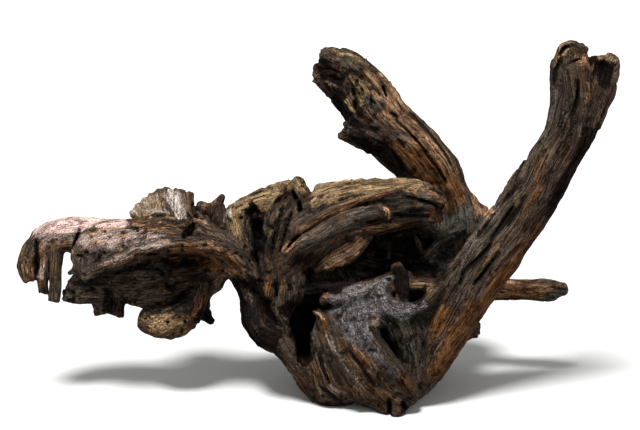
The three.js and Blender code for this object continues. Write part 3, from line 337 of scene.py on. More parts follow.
stain("tan", 0.7, [(296, 242, 2), (312, 233, 1), (332, 224, 1)])
stain("flesh", 0.9, [(386, 209, 3), (389, 214, 3)], [(285, 250, 3), (291, 243, 3)])
stain("rust", 0.8, [(336, 248, 7), (360, 238, 8), (385, 230, 6), (412, 226, 4)],
      [(318, 258, 5), (340, 246, 5)])
stain("flesh", 0.5, [(330, 247, 3), (352, 236, 3), (378, 227, 3), (400, 223, 2)])
stain("tan", 0.5, [(345, 240, 4), (366, 232, 4), (392, 226, 3)])
stain("umber", 0.8, [(300, 262, 7), (325, 256, 7)])
stain("rust", 0.9, [(434, 208, 4), (435, 219, 4)])
stain("straw", 0.5, [(430, 212, 2), (431, 219, 2)])

# Crest: it arches over the neck of the left arm, rough and bleached on top. It is the same wood as the
# stump, split from the left lobe by a deep dark fold.
new_part("crest", flutes=0.9, cracks=0.6, pits=0.9)
grow("crest", [
    (241, 215, 22, 11, 20), (253, 207, 14, 13, 26), (276, 201.5, 6, 16.5, 30), (292, 197.5, 2, 16, 30),
    (300, 214, 0, 17, 30),
], join=8, grain=(10, 2, 4, 8))
grow("crest knob", [
    (290, 187, -18, 5, 8), (298, 184, -20, 5.5, 9), (303, 192, -24, 5, 8),
], join=3, grain=(4, 3, 1.5, 63))
grow("crest face", [
    (272, 274, -12, 13, 26), (277, 244, -12, 16, 28), (284, 216, -8, 17, 28), (292, 200, -2, 15, 26),
], join=9, grain=(12, 2, 5, 47))
grow("left lobe", [
    (240, 216, 16, 13, 20), (243, 236, 12, 14, 22), (249, 258, 8, 14, 22), (258, 284, 2, 13, 22),
], join=9, grain=(10, 2.5, 5, 9))
hollow("fold", [
    (251, 199, -14, 2.5, 14), (254, 214, -24, 6, 24), (256, 236, -28, 8.5, 32), (258, 260, -30, 7.5, 30),
    (264, 284, -30, 4, 22),
], join=3)
grow("inner leaf of the fold", [
    (249, 206, -2, 3, 8), (247, 220, -3, 4.5, 8), (248, 236, -4, 5, 8), (253, 250, -6, 4, 8),
], join=2, grain=(3, 1, 8, 86))
hollow("under the crest", [
    (267, 214, -40, 3.5, 14), (276, 203, -38, 4.5, 13), (288, 194, -32, 3.5, 10),
], join=3)
crack((299, 203, -30, 1.5), (301, 212, -33, 2.4), deep=8)
crack((293, 192, -26, 1.5), (296, 199, -28, 2))
crack((283, 206, -36, 0.5), (277, 226, -39, 0.9), (272, 250, -38, 0.6), deep=4)
crack((292, 212, -37, 0.5), (286, 230, -41, 0.8), (280, 252, -41, 0.5), deep=4)
stain("straw", 1.0, [(238, 205, 8), (256, 195, 9), (276, 188, 8)], [(262, 206, 6), (272, 198, 5)])
stain("straw", 1.2, [(280, 188, 9), (296, 185, 8), (302, 194, 5)])
stain("rust", 0.35, [(236, 220, 8), (236, 240, 8)], [(264, 196, 6)])
stain("straw", 0.8, [(238, 214, 8), (234, 236, 8), (238, 256, 5)],
      [(266, 258, 4), (276, 266, 5), (270, 274, 4)], [(288, 203, 2), (279, 218, 2), (270, 237, 2)],
      [(293, 212, 2), (285, 226, 2), (277, 246, 2)])
stain("bone", 0.8, [(222, 212, 2), (224, 219, 2)], [(229, 211, 2), (229, 218, 2)])
stain("olive", 0.6, [(272, 245, 10), (284, 222, 11), (296, 206, 9)])
stain("dove", 0.5, [(274, 240, 8), (286, 216, 8)])
stain("tan", 0.5, [(266, 254, 6), (280, 232, 7), (292, 212, 5)])
# Painted shade: black down the deep fold.
stain("char", 0.9, [(258, 222, 4), (260, 240, 6), (262, 268, 7)])
stain("umber", 0.6, [(248, 208, 3), (247, 226, 5), (250, 244, 5)])
stain("tan", 0.35, [(247, 212, 2), (247, 234, 3)])

# Knotted lobes at the foot of the crest, where the limbs part. They are small hard knots of rusty wood that
# stand out of the softer wood worn away between them.
new_part("knotted lobes", flutes=0.5, cracks=0.6, pits=0.6, lumps=1.2)
grow("left knot", [
    (268, 258, -30, 5, 8), (271, 274, -32, 6, 9), (269, 292, -30, 6.5, 9),
], join=3, grain=(6, 2, 3, 75))
grow("middle knot", [
    (281, 262, -34, 5, 8), (284, 282, -35, 5.5, 9), (286, 300, -31, 7, 10),
], join=3, grain=(6, 1.5, 3, 76))
grow("right knot", [
    (296, 262, -36, 6, 8), (299, 278, -36, 7, 9), (296, 296, -31, 7, 10),
], join=3, grain=(6, 2, 3, 77))
grow("grey folds", [
    (278, 306, -26, 8, 10), (290, 322, -24, 9, 11), (301, 340, -16, 6, 9),
], join=5, grain=(7, 2.5, 3, 78))
grow("pale lump", [
    (280, 340, -24, 5, 7), (288, 352, -24, 5, 7), (296, 366, -20, 4, 6),
], join=4, grain=(5, 2, 2, 79))
stain("tan", 0.9, [(268, 260, 4), (276, 266, 4)], [(266, 280, 4)])
stain("rust", 0.6, [(264, 284, 4), (272, 294, 5)], [(300, 268, 4), (312, 266, 4)],
      [(306, 292, 3), (320, 293, 3)])
stain("tan", 0.8, [(283, 279, 3), (284, 290, 4)])
stain("slate", 0.5, [(293, 284, 5)], [(284, 316, 7), (296, 332, 6)])
stain("umber", 0.9, [(276, 274, 3), (276, 288, 3)], [(290, 270, 2), (291, 290, 3)],
      [(300, 302, 8), (284, 310, 6)], [(262, 306, 9)])
stain("dove", 0.7, [(280, 338, 4), (290, 352, 5), (298, 366, 3)], [(266, 270, 2), (262, 262, 3)])
stain("tan", 0.5, [(292, 360, 4), (300, 372, 3)])

# Left arm: a hollow shell of outer wood, open to the front under a rolled rim. It ends in a fist of small
# folds and is knuckled on top, and a lobe, a tab and a spike of what was its wall hang below.
new_part("left arm", flutes=0.55, cracks=0.6, pits=0.9, lumps=0.7)
grow("arm back", [
    (250, 276, 8, 12, 18), (224, 261, 14, 15, 16), (198, 271, 22, 29, 13), (160, 276, 22, 34, 12),
    (125, 275, 18, 26, 11), (95, 280, 12, 19, 10), (80, 286, 6, 13, 9),
], join=10, grain=(13, 2, 5, 10))
grow("arm top", [
    (238, 260, 0, 12, 20), (214, 243, -4, 15, 26), (182, 234, -6, 17, 30), (150, 237, -8, 19, 31),
    (120, 243, -10, 21, 28), (99, 250, -12, 21, 24), (89, 259, -13, 15, 18),
], join=10, grain=(12, 2, 3, 11))
hollow("arm bowl", [
    (94, 288, -30, 4, 12), (115, 283, -28, 9, 18), (145, 279, -26, 15, 24), (175, 280, -24, 19, 26),
    (200, 278, -22, 14, 22), (214, 272, -20, 6, 14),
], join=6)
grow("rolled rim", [
    (262, 290, -18, 7, 12), (250, 270, -24, 8, 12), (236, 256, -30, 8, 12), (214, 247, -34, 7.5, 12),
    (184, 245, -37, 7.5, 12), (156, 249, -37, 7.5, 12), (132, 257, -34, 7.5, 12), (108, 267, -28, 8, 12),
    (90, 275, -22, 8, 10),
], join=7, grain=(10, 0.8, 8, 12))
grow("fist", [
    (94, 248, -20, 12, 12), (84, 252, -18, 10, 12), (88, 264, -14, 7, 9),
], join=8, grain=(10, 1.5, 4, 13))
FIST_FOLDS = {
    "first": [(76, 250, -20, 4, 6), (75, 260, -22, 3.6, 6), (77, 267, -20, 3, 5)],
    "second": [(84, 250, -24, 4.4, 7), (83.5, 264, -25, 4.2, 7), (85, 276, -22, 3.4, 6)],
    "third": [(93.5, 250, -26, 4.4, 7), (93, 264, -28, 4.4, 7), (93, 274, -26, 3.6, 6)],
    "fourth": [(102.5, 252, -27, 4.2, 7), (102, 264, -29, 4.2, 7), (102, 271, -28, 3.6, 6)],
}
for i, (which, stations) in enumerate(FIST_FOLDS.items()):
    grow(f"{which} fold of the fist", stations, join=2, grain=(4, 0.6, 6, 67 + i))
grow("flake", [
    (82, 273, -14, 4, 5), (75, 269.5, -14, 3, 4), (70, 272.5, -13, 2, 3),
], join=3, grain=(4, 1.2, 3, 53))
hollow("arm hole", [(184, 238, -38, 3, 8), (190, 230, -34, 5, 11), (195, 221, -24, 4, 10)], join=3)
grow("low knuckles", [
    (148, 222, -8, 4, 9), (158, 219, -4, 5, 9), (168, 218, 0, 5, 9),
], join=4, grain=(5, 3, 1.3, 87))
grow("knuckles", [
    (174, 216, 2, 5, 9), (188, 215, 4, 6, 10), (202, 223, 4, 6, 11), (211, 235, -4, 6, 12),
], join=4, grain=(5, 3.4, 1.2, 50))
hollow("rim groove", [
    (142, 257, -46, 1.2, 5), (166, 250, -50, 2, 6), (192, 250, -49, 2, 6), (216, 256, -45, 1.8, 6),
    (234, 267, -40, 1.2, 5),
], join=2)
grow("lower lobe", [
    (151, 320.5, 8, 13.5, 14), (168, 323, 2, 16, 17), (185, 316, 0, 14.5, 16), (197, 300, 2, 9, 12),
    (202, 285, 6, 7.5, 12),
], join=8, grain=(10, 2, 5, 14))
grow("tab", [(108, 294, 14, 14, 8), (108, 306, 14, 14, 7), (108, 315, 14, 14, 6)], join=6, torn=(2, 7))
grow("jaw", [
    (102, 293, 8, 10, 9), (82, 293, 2, 10, 9), (66, 291, -2, 9.5, 8),
], join=6, grain=(6, 2.5, 3, 15), torn=(3, 3))
grow("shell spike", [
    (204, 276, 26, 8, 8), (202, 300, 30, 7.5, 7), (203.5, 314, 34, 8, 6), (210.5, 320.5, 34, 4.5, 4),
], join=6)
stain("dove", 1.0, [(88, 240, 9), (112, 238, 11), (140, 238, 9), (166, 240, 6)])
# Painted highlight: a pale band along the top of the rolled rim and the fist.
stain("dove", 0.4,
      [(78, 255, 5), (92, 258, 8), (112, 262, 5), (140, 250, 3), (180, 244, 2), (214, 243, 2)])
stain("pink", 0.8, [(90, 222, 6), (125, 223, 4)])
stain("slate", 0.6, [(84, 232, 3), (104, 228, 3)],
      [(108, 250, 4), (136, 243, 5), (160, 238, 5), (182, 236, 4)])
stain("flesh", 0.8, [(90, 234, 3), (96, 232, 3)], [(102, 231, 2), (106, 229, 2)],
      [(114, 230, 2), (124, 229, 2)], [(117, 235, 2), (126, 234, 2)], [(122, 251, 2)])
stain("flesh", 0.7, [(90, 244, 2), (98, 243, 2)], [(146, 236, 2)], [(80, 250, 2)], [(72, 251, 2)])
stain("flesh", 0.55, [(151, 218, 3)], [(160, 221, 3)], [(168, 216, 3), (176, 219, 2)],
      [(178, 213, 3), (190, 213, 3)], [(197, 219, 3)], [(204, 222, 3), (210, 234, 3)], [(199, 230, 2)],
      [(166, 227, 2)], [(176, 226, 2)], [(158, 228, 2)])
stain("umber", 0.55, [(152, 222, 6), (172, 222, 9), (192, 226, 10), (208, 236, 6)])
stain("rust", 0.8, [(178, 250, 3), (212, 252, 3), (228, 257, 3), (240, 268, 3)],
      [(208, 262, 6), (218, 270, 6)])
stain("rust", 0.5, [(160, 256, 4), (190, 256, 5), (214, 262, 5)])
stain("rust", 0.7, [(206, 292, 4), (201, 304, 5), (194, 316, 4)])
stain("umber", 0.7, [(110, 302, 9), (124, 306, 8)], [(186, 300, 7), (188, 314, 6)])
stain("flesh", 0.9, [(228, 270, 3), (242, 277, 3)])
stain("straw", 1.0, [(148, 320, 9), (163, 325, 11), (180, 328, 7)])
stain("rust", 0.45, [(150, 324, 9), (168, 328, 11), (186, 322, 8)])
stain("olive", 0.7, [(148, 312, 5)], [(68, 292, 6), (84, 296, 5)])
stain("umber", 0.2, [(120, 283, 10), (150, 278, 16), (184, 278, 16)])
# Painted shade: black in the hollows behind the lower lobe and beside the shell spike.
stain("char", 0.9, [(178, 306, 7)], [(205, 316, 9)], [(173, 290, 5)])
# Painted shadow: a black line under the rolled rim, where it shades the bowl.
stain("char", 1.0, [(86, 283, 1.5), (104, 276, 2.5), (124, 270, 2.5), (146, 265, 2)], everywhere=True)
stain("tan", 0.7, [(168, 247, 5), (206, 247, 6), (232, 260, 6)],
      [(136, 222, 6), (160, 226, 5), (190, 230, 5)])
stain("flesh", 0.5, [(196, 244, 2), (218, 250, 3), (236, 260, 2)], [(136, 226, 3), (148, 232, 3)],
      [(160, 240, 2), (172, 241, 2)])

# Claws: the arm tears into three blunt points, bleached pink where they lay uppermost. The wood is soft,
# grey and tan, and its fibres run down to the torn ends.
new_part("claws", flutes=0.4, cracks=0.5, pits=0.2, lumps=0.8)
grow("claw root", [
    (112, 232, 4, 12, 18), (85, 231, 2, 13, 18), (62, 232, -2, 13.5, 17), (44, 240, -6, 13, 16),
    (33, 254, -10, 9, 14),
], join=8, grain=(10, 1, 5, 16))
grow("root lip", [(60, 244, -10, 8, 10), (74, 243, -10, 9, 10)], join=5, grain=(8, 1.5, 3, 54))
grow("outer claw", [
    (30, 250, -10, 9, 11), (25.5, 266, -14, 8.5, 9), (30.5, 280.5, -16, 6.5, 6),
], join=5, grain=(5, 1.5, 6, 17), torn=(3, 3))
grow("middle claw", [
    (43, 252, -10, 7.5, 9), (42, 270, -12, 6.5, 7), (43.5, 292, -13, 5, 5),
], join=4, grain=(5, 1, 6, 18), torn=(4, 3))
grow("inner claw", [
    (57, 246, -8, 8, 10), (55.5, 268, -10, 5.6, 8), (55, 286, -11, 5.6, 7), (53.5, 301, -11, 5.6, 5),
], join=3, grain=(5, 0.8, 6, 19), torn=(2, 3))
hollow("slit", [(48.6, 272, -12, 0.8, 14), (48.8, 284, -12, 1.4, 14), (48.2, 294, -12, 1.2, 14)], join=1)
crack((36, 240, -22, 0.8), (37, 256, -22, 1.4), (36, 274, -20, 1.0))
crack((80, 230, -13, 0.6), (77, 239, -16, 1.2), (74, 248, -16, 0.8))
stain("dove", 0.85, [(40, 240, 9), (58, 240, 8), (70, 236, 7)], [(44, 258, 4), (42, 276, 3)])
stain("tan", 0.9, [(50, 246, 4), (66, 243, 5)], [(36, 246, 5), (42, 256, 5)],
      [(25, 250, 6), (28, 276, 6)], [(54, 262, 3), (55, 280, 3)])
stain("dove", 0.5, [(25, 250, 4), (26, 266, 3)])
# Painted shade: black along the slit and the crack between the claws.
stain("char", 0.9, [(49, 258, 1.5), (48.5, 272, 1.5)], [(37, 262, 1.5), (36, 276, 1.5)])
stain("pink", 1.0, [(42, 226, 9), (66, 222, 8), (95, 223, 7), (120, 223, 6)])
stain("slate", 0.6, [(50, 242, 3), (62, 238, 4), (75, 235, 4)], [(37, 232, 2), (33, 242, 4), (26, 256, 4)])
stain("olive", 0.6, [(56, 268, 4), (55, 290, 4)], [(22, 262, 5)])

# Crown: a torn collar that fans out behind the arm. It is thin grey wood in ridged blades, one for each
# tip, with a dark blade and a spike of sound wood to the right of them.
CROWN_MIDDLE = 172
CROWN_FOOT = 246
CROWN_WAIST = 236
new_part("crown", flutes=0.5, cracks=0.5, pits=0.2, lumps=0.6)
CROWN_TIPS = [
    (132, 213, 34), (137, 206, 37), (144, 200.5, 40), (151, 195.5, 41), (158.5, 191.5, 42),
    (166, 189.5, 42),
]
for i, (across, down, away) in enumerate(CROWN_TIPS):
    foot = (0.3 * across + 0.7 * CROWN_MIDDLE, CROWN_FOOT, 2, 6, 10)
    waist = (0.62 * across + 0.38 * CROWN_MIDDLE, 0.5 * (down + CROWN_WAIST), 0.5 * away, 5, 7)
    tip = (across, down, away, 4.4, 4.5)
    grow(f"crown blade {i + 1}", [foot, waist, tip], join=2.5, grain=(5, 0.8, 6, 20 + i), torn=(2, 3))
grow("crown lobe", [
    (184, 244, 2, 12, 12), (178, 222, 16, 11, 9), (175, 206, 28, 10.5, 7), (175.5, 190.5, 38, 9.5, 4.5),
], join=5, grain=(8, 0.4, 6, 55), torn=(2.5, 4))
grow("curled lobe", [
    (193, 238, 8, 7, 9), (188.5, 216, 22, 5, 7), (188.5, 193.5, 34, 5.5, 5),
], join=4, grain=(6, 0.5, 6, 56), torn=(2, 3))
hollow("crown dish", [(181, 226, -8, 8, 12), (176, 206, 10, 8, 12), (173, 190, 24, 7, 10)], join=6)
grow("dark blade", [
    (202, 240, 20, 12, 12), (201, 222, 24, 10, 8), (202.5, 208, 26, 9, 6),
], join=6, grain=(8, 1, 5, 28))
grow("crown spike", [
    (208, 238, 24, 12, 11), (212, 218, 26, 9, 8), (217, 205, 28, 6, 6), (222, 197, 28, 3.5, 4),
], join=6, grain=(10, 0.5, 5, 30))
hollow("crown mouth", [(193, 200, 18, 3, 12), (194, 212, 10, 3.5, 14), (200, 226, 2, 4, 14)], join=3)
grow("crown thorn", [(219, 206, 26, 2, 3), (224, 206, 26, 1.2, 2)], join=2, grain=(6, 0, 5, 0))
grow("pale lumps", [(224, 212, 26, 3.5, 5), (224, 220, 24, 4, 6)], join=3, grain=(4, 1, 3, 80))
stain("straw", 0.9, [(134, 214, 7), (146, 206, 8), (158, 200, 8), (152, 216, 9)])
stain("olive", 0.4, [(140, 214, 7), (152, 206, 5)])
stain("bone", 0.5, [(136, 209, 5), (148, 202, 5), (158, 197, 5)], [(150, 213, 5), (164, 214, 6)])
stain("ash", 0.35, [(140, 212, 5), (154, 206, 5)])
stain("umber", 0.6, [(156, 196, 4), (162, 200, 4)])
stain("bone", 0.7, [(172, 194, 6), (174, 206, 7), (180, 216, 6)])
stain("dove", 0.8, [(172, 196, 8), (178, 214, 8)])
stain("tan", 0.6, [(184, 198, 3), (187, 214, 4)], [(190, 194, 3)], [(204, 206, 4), (218, 200, 4)])
stain("ash", 0.5, [(168, 196, 4), (170, 212, 4)])
stain("umber", 0.9, [(202, 218, 9), (206, 236, 9)])

# Saddle: a rough grey blanket of worn wood that runs over the front of the stump and down to the toes. Fins
# of harder wood stand on it, and rot has taken a cavity, a cleft and a round bowl out of it.
new_part("saddle", flutes=0.4, cracks=0.4, pits=0.5, lumps=0.8)
grow("saddle", [
    (338, 314, -24, 16, 26), (362, 308, -24, 24, 32), (392, 300, -18, 25, 32), (420, 300, -10, 22, 28),
], join=10, grain=(14, 2, 5, 31))
grow("ramp", [
    (352, 316, -32, 22, 26), (356, 342, -36, 24, 24), (372, 368, -36, 21, 22), (388, 388, -34, 16, 18),
    (400, 398, -34, 12, 13),
], join=10, grain=(12, 1.5, 8, 34))
grow("lower face", [
    (322, 358, -14, 20, 22), (333, 384, -12, 20, 20), (358, 385, -14, 17, 22), (382, 393, -18, 16, 20),
], join=10, grain=(15, 1.5, 5, 37))
grow("toe", [
    (372, 392, -24, 12, 14), (388, 404, -32, 11.5, 12), (396, 410, -38, 9, 9),
], join=6, grain=(10, 1, 5, 38))
grow("upper toe", [(400, 387, -34, 9, 10), (411, 396, -36, 8, 8)], join=5, grain=(10, 1, 5, 44))
hollow("cavity", [
    (340, 299, -46, 4, 16), (322, 308, -36, 9, 32), (303, 321, -28, 14.5, 40), (303, 338, -26, 9.5, 34),
    (304, 357, -22, 8, 28),
], join=4)
hollow("cleft", [
    (312, 274, -40, 4, 18), (340, 275, -34, 7, 34), (368, 267, -20, 12, 34), (400, 254, -6, 14, 25),
    (432, 240, 4, 12, 20),
], join=6)
grow("cavity brow", [
    (296, 287, -24, 7, 10), (310, 287, -33, 6, 9), (326, 286, -37, 5, 8), (348, 287, -38, 4, 7),
], join=4, grain=(5, 1.5, 3, 82))
grow("smooth wall", [
    (400, 312, -34, 17, 20), (407, 332, -32, 17, 18), (412, 352, -28, 14, 16), (416, 376, -22, 9, 13),
], join=8, grain=(14, 1, 6, 83))
hollow("wall hollow", [
    (370, 332, -66, 3, 11), (388, 350, -62, 5, 12), (402, 368, -58, 5.5, 12), (412, 388, -52, 4, 10),
], join=5)
grow("recess fold", [
    (352, 262, -16, 2.5, 5), (374, 257, -12, 2.5, 5), (396, 262, -10, 2.2, 5), (420, 262, -14, 2.4, 5),
    (440, 267, -20, 2.4, 5),
], join=5, grain=(4, 2, 2, 61))
grow("recess curl", [
    (392, 240, 12, 2, 4), (402, 232, 10, 2, 4), (414, 236, 10, 2, 3), (420, 250, 8, 2, 3),
], join=4, grain=(5, 1, 3, 62))
grow("second recess curl", [
    (378, 238, 8, 2, 3), (389, 246, 10, 2, 3), (388, 258, 6, 2, 3),
], join=4, grain=(5, 1, 3, 84))
grow("streaks of the recess", [
    (426, 254, 6, 2, 4), (440, 242, 14, 2, 4), (460, 230, 26, 2, 4),
], join=7, grain=(4, 2, 2, 85))
hollow("bowl", [(398, 297, -54, 6, 13), (413, 300, -50, 8, 22), (428, 296, -44, 6.5, 19)], join=4)
grow("fuzzy pad", [
    (408, 284, -34, 4, 6), (420, 284, -36, 5, 7), (432, 286, -34, 4, 6),
], join=4, grain=(3, 1.6, 2, 81))
hollow("saddle dip", [(384, 290, -50, 3.5, 12), (389, 277, -42, 5, 12)], join=3)
grow("saddle edge", [
    (325, 299, -38, 5, 8), (344, 295, -44, 7, 12), (366, 289, -38, 8, 14), (392, 279, -28, 8, 14),
    (404, 277, -26, 8, 12),
], join=7, grain=(10, 1, 5, 32))
grow("saddle post", [
    (397, 268, -30, 6, 8), (401, 281, -38, 6.5, 9), (402, 297, -42, 6, 9),
], join=3, grain=(5, 1.2, 4, 71))
grow("crescent lip", [
    (380, 288, -42, 6, 8), (383, 302, -46, 6, 9), (394, 311, -47, 6, 9), (410, 311, -45, 6, 9),
    (426, 302, -40, 6, 9), (436, 292, -34, 6, 9),
], join=8)
grow("cavity rim", [
    (319, 313, -32, 5, 8), (324, 330, -38, 7, 12), (334, 352, -40, 8, 12), (347, 374, -38, 8, 12),
    (362, 394, -32, 7, 10),
], join=10)
grow("long fin", [
    (334, 316, -42, 6, 8), (348, 338, -50, 7, 10), (366, 362, -49, 7, 10), (384, 384, -44, 6, 8),
], join=10)
grow("ramp edge", [
    (362, 326, -46, 6, 10), (376, 346, -50, 8, 12), (394, 368, -46, 8, 12), (408, 388, -40, 6, 9),
], join=10)
grow("torn ledge", [
    (318, 268.5, -38, 4, 6), (334, 258, -44, 10, 7), (350, 250, -45, 11.5, 6), (362, 242, -41, 7, 5),
    (370, 237, -37, 3, 4),
], join=2.5, grain=(4, 1.5, 6, 57), torn=(3, 3))
grow("beak nub", [
    (324, 298, -52, 3.5, 5), (334, 300, -54, 3.5, 5), (345, 297, -54, 3, 4),
], join=3, grain=(4, 1.5, 3, 72))
grow("orange spike", [
    (314, 312, -44, 1.6, 3), (321, 315, -46, 2.6, 4), (324, 324, -48, 2.6, 4),
], join=2, grain=(4, 0.6, 4, 73))
grow("pale thread", [
    (379, 319, -62, 1.4, 3), (386, 323, -63, 1.6, 3), (397, 326, -61, 1.2, 3),
], join=2, grain=(4, 0.4, 3, 74))
grow("long fin crest", [
    (340, 328, -52, 2, 4), (354, 345, -58, 2.4, 4), (372, 366, -56, 2.4, 4), (386, 386, -48, 2, 4),
], join=3, grain=(6, 0.5, 6, 58))
grow("rim fin crest", [
    (324, 328, -47, 2, 4), (334, 352, -51, 2.2, 4), (346, 374, -49, 2.2, 4), (358, 398, -40, 2, 4),
], join=3, grain=(6, 0.5, 6, 59))
grow("ramp edge crest", [
    (366, 330, -58, 2.2, 4), (379, 347, -61, 2.5, 4), (396, 369, -57, 2.5, 4), (410, 388, -49, 2, 4),
], join=3, grain=(6, 1, 3, 60))
crack((389, 399, -46, 0.8), (390, 408, -46, 1.6), (389, 417, -44, 1.6))
crack((402, 402, -44, 1.5), (405, 408, -42, 2))
crack((322, 388, -34, 0.8), (329, 394, -35, 1.8), (337, 400, -34, 0.8))
crack((350, 352, -62, 0.5), (362, 368, -61, 1.2), (374, 386, -56, 0.7))
crack((318, 345, -45, 0.5), (322, 366, -40, 1.0), (330, 384, -36, 0.6))
stain("olive", 1.0, [(392, 336, 14), (406, 350, 16), (420, 360, 10)], [(392, 322, 10), (425, 316, 12)])
stain("tan", 0.4, [(396, 318, 8), (420, 314, 8)], [(408, 340, 7)])
stain("slate", 0.7, [(424, 322, 9), (436, 330, 8)], [(410, 345, 8)])
stain("ash", 0.9, [(340, 304, 10), (358, 300, 15), (374, 300, 12)], [(350, 322, 13), (362, 338, 9)],
      [(352, 292, 7), (372, 287, 6), (390, 279, 5)])
stain("ash", 1.0, [(378, 290, 6), (384, 306, 7), (402, 313, 6), (424, 304, 5)])
stain("bone", 0.4, [(376, 286, 2), (381, 303, 2), (391, 312, 2), (404, 314, 2), (422, 305, 2)],
      [(379, 319, 2), (397, 326, 2)])
stain("ash", 0.7, [(366, 344, 5), (382, 362, 5), (398, 376, 4)])
stain("bone", 0.45, [(326, 334, 2), (344, 366, 2), (362, 388, 2)],
      [(364, 334, 2), (387, 363, 2), (400, 377, 2)])
stain("straw", 0.6, [(410, 284, 5), (428, 286, 6)])
stain("umber", 1.1, [(400, 274, 7), (402, 292, 7)], [(300, 286, 7), (322, 285, 6), (345, 286, 6)])
stain("tan", 0.6, [(344, 344, 9), (364, 364, 11), (378, 380, 8)],
      [(352, 388, 8), (378, 394, 8), (396, 398, 6)])
stain("dove", 0.5, [(346, 346, 7), (364, 362, 8), (380, 382, 7)])
# Painted light, partly the wall's own grey: straw and dove lighten the wall in the crescent lip's shadow.
stain("straw", 0.55, [(376, 320, 5), (392, 326, 6)])
stain("dove", 0.9, [(374, 318, 7), (394, 324, 9)], everywhere=True)
stain("flesh", 1.0, [(324, 298, 3), (345, 297, 3)], [(314, 312, 2), (322, 316, 3)])
stain("rust", 0.8, [(314, 312, 2), (324, 322, 3), (324, 336, 3)], [(356, 355, 3), (367, 366, 3)],
      [(400, 374, 3), (413, 390, 3)])
stain("rust", 0.4, [(300, 365, 14), (325, 385, 16), (350, 390, 10)])
stain("umber", 0.35, [(306, 372, 10), (328, 392, 12)])
stain("tan", 0.7, [(328, 262, 6), (346, 250, 8), (362, 242, 5)])
stain("dove", 0.6, [(330, 260, 4), (348, 249, 6), (360, 242, 3)])
stain("flesh", 0.9, [(360, 240, 4), (354, 252, 3)], [(344, 262, 2), (326, 268, 3)], everywhere=True)
stain("rust", 0.7, [(350, 258, 3), (336, 267, 3)])
# Painted shade: black in the cavity and along the cleft.
stain("char", 1.0, [(302, 318, 12), (305, 340, 11), (304, 358, 8)],
      [(322, 276, 4), (345, 276, 6), (380, 272, 6)])
# Painted shade: black in the bowl and the saddle dip.
stain("char", 0.8, [(418, 299, 7)], [(389, 280, 4)])

# Low branch, and the worn swellings on the right side of the stump. The branch is a thin straight root of
# warm tan wood, rounded at its tip.
new_part("low branch", flutes=1.0, cracks=1.2, pits=0.5)
grow("low branch", [
    (438, 296, 62, 20, 22), (470, 290, 66, 15, 15), (505, 289, 66, 12, 12), (535, 290.5, 64, 10.5, 11),
    (551, 290.5, 62, 9, 9.5), (562, 290, 62, 6, 6.5),
], join=10, grain=(6, 1.4, 4, 40))
grow("shoulder", [(458, 222, 66, 26, 30), (478, 216, 68, 11, 15)], join=10, grain=(10, 1, 5, 41))
grow("burl", [(452, 322, 34, 22, 24), (469, 327, 36, 11, 14)], join=8, grain=(10, 1, 5, 42))
stain("flesh", 0.5, [(506, 283, 3), (530, 284, 3), (550, 284, 3)])
stain("tan", 1.0, [(500, 289, 9), (540, 289, 9), (562, 289, 7)], [(505, 298, 4), (530, 300, 4)])
stain("umber", 0.7, [(500, 293, 2), (530, 294, 2)], [(520, 285, 2), (540, 287, 2)])
stain("rust", 0.6, [(510, 292, 5), (535, 293, 5)])
stain("slate", 0.8, [(548, 296, 5), (562, 291, 5)], [(448, 228, 12), (466, 218, 10)])
stain("rust", 0.7, [(505, 296, 3), (530, 299, 3)], [(520, 281, 2), (544, 283, 2)])
stain("flesh", 1.0, [(474, 201, 5), (481, 207, 7), (487, 212, 5)], everywhere=True)
stain("straw", 0.9, [(470, 208, 4), (479, 215, 5)])
stain("char", 0.9, [(440, 235, 24), (462, 225, 20)])

# Rear roots: two short props behind the stump, worn to stubs, that it stands on with its front toes. The
# back is guessed: dark sound wood with two hollows.
new_part("rear roots", flutes=1.0, cracks=1.0, pits=0.4)
grow("rear buttress", [
    (456, 222, 64, 26, 30), (452, 256, 68, 28, 32), (438, 292, 68, 27, 30), (420, 325, 80, 24, 26),
    (404, 345, 94, 19, 20), (397, 355, 100, 16, 16),
], join=16, grain=(13, 3, 8, 43))
grow("middle buttress", [
    (330, 215, 14, 22, 24), (344, 250, 44, 24, 24), (352, 290, 60, 24, 24), (352, 325, 74, 20, 20),
    (346, 348, 88, 15, 16), (343, 357, 92, 14, 14),
], join=16, grain=(12, 3, 8, 45))
grow("back stub", [
    (292, 296, 30, 22, 24), (286, 286, 62, 16, 16), (284, 280, 84, 13, 13),
], join=12, grain=(10, 1.5, 5, 48), torn=(4, 7))
hollow("back hollow", [
    (392, 240, 110, 9, 20), (396, 280, 124, 14, 34), (384, 318, 128, 12, 30), (374, 345, 126, 8, 24),
], join=10)
hollow("back knot hole", [(318, 262, 96, 9, 20), (318, 266, 72, 8, 12)], join=6)
stain("char", 0.8, [(400, 258, 26), (430, 245, 26), (455, 235, 22)])


# The body of the wood, all in one. The runs melt into each other in the order they are drawn, the hollows
# are taken out, and the surface is found on a fine lattice of points.
GRID = 1.5
BLOCK = 4
BAND = 6.0 * GRID
EDGE = 3 * BLOCK * GRID
REACH = 24.0
SPARE = 4
FAR = 1e3
TORN_STEPS = 3
FINE_FIBRES, FINE_SHARE = 2.5, 0.6
SEED_STEP = 17.3
FLUTE_MIDDLE = 0.35
SCRAMBLE = np.uint32(1274126177)
PRIMES = (np.uint32(374761393), np.uint32(668265263), np.uint32(1440662683))


def corner_value(h):
    """An even spread of values from -1 to 1, one for each whole number."""
    h = (h ^ (h >> np.uint32(13))) * SCRAMBLE
    return (h ^ (h >> np.uint32(16))).astype(np.float32) / np.float32(2147483647.5) - 1


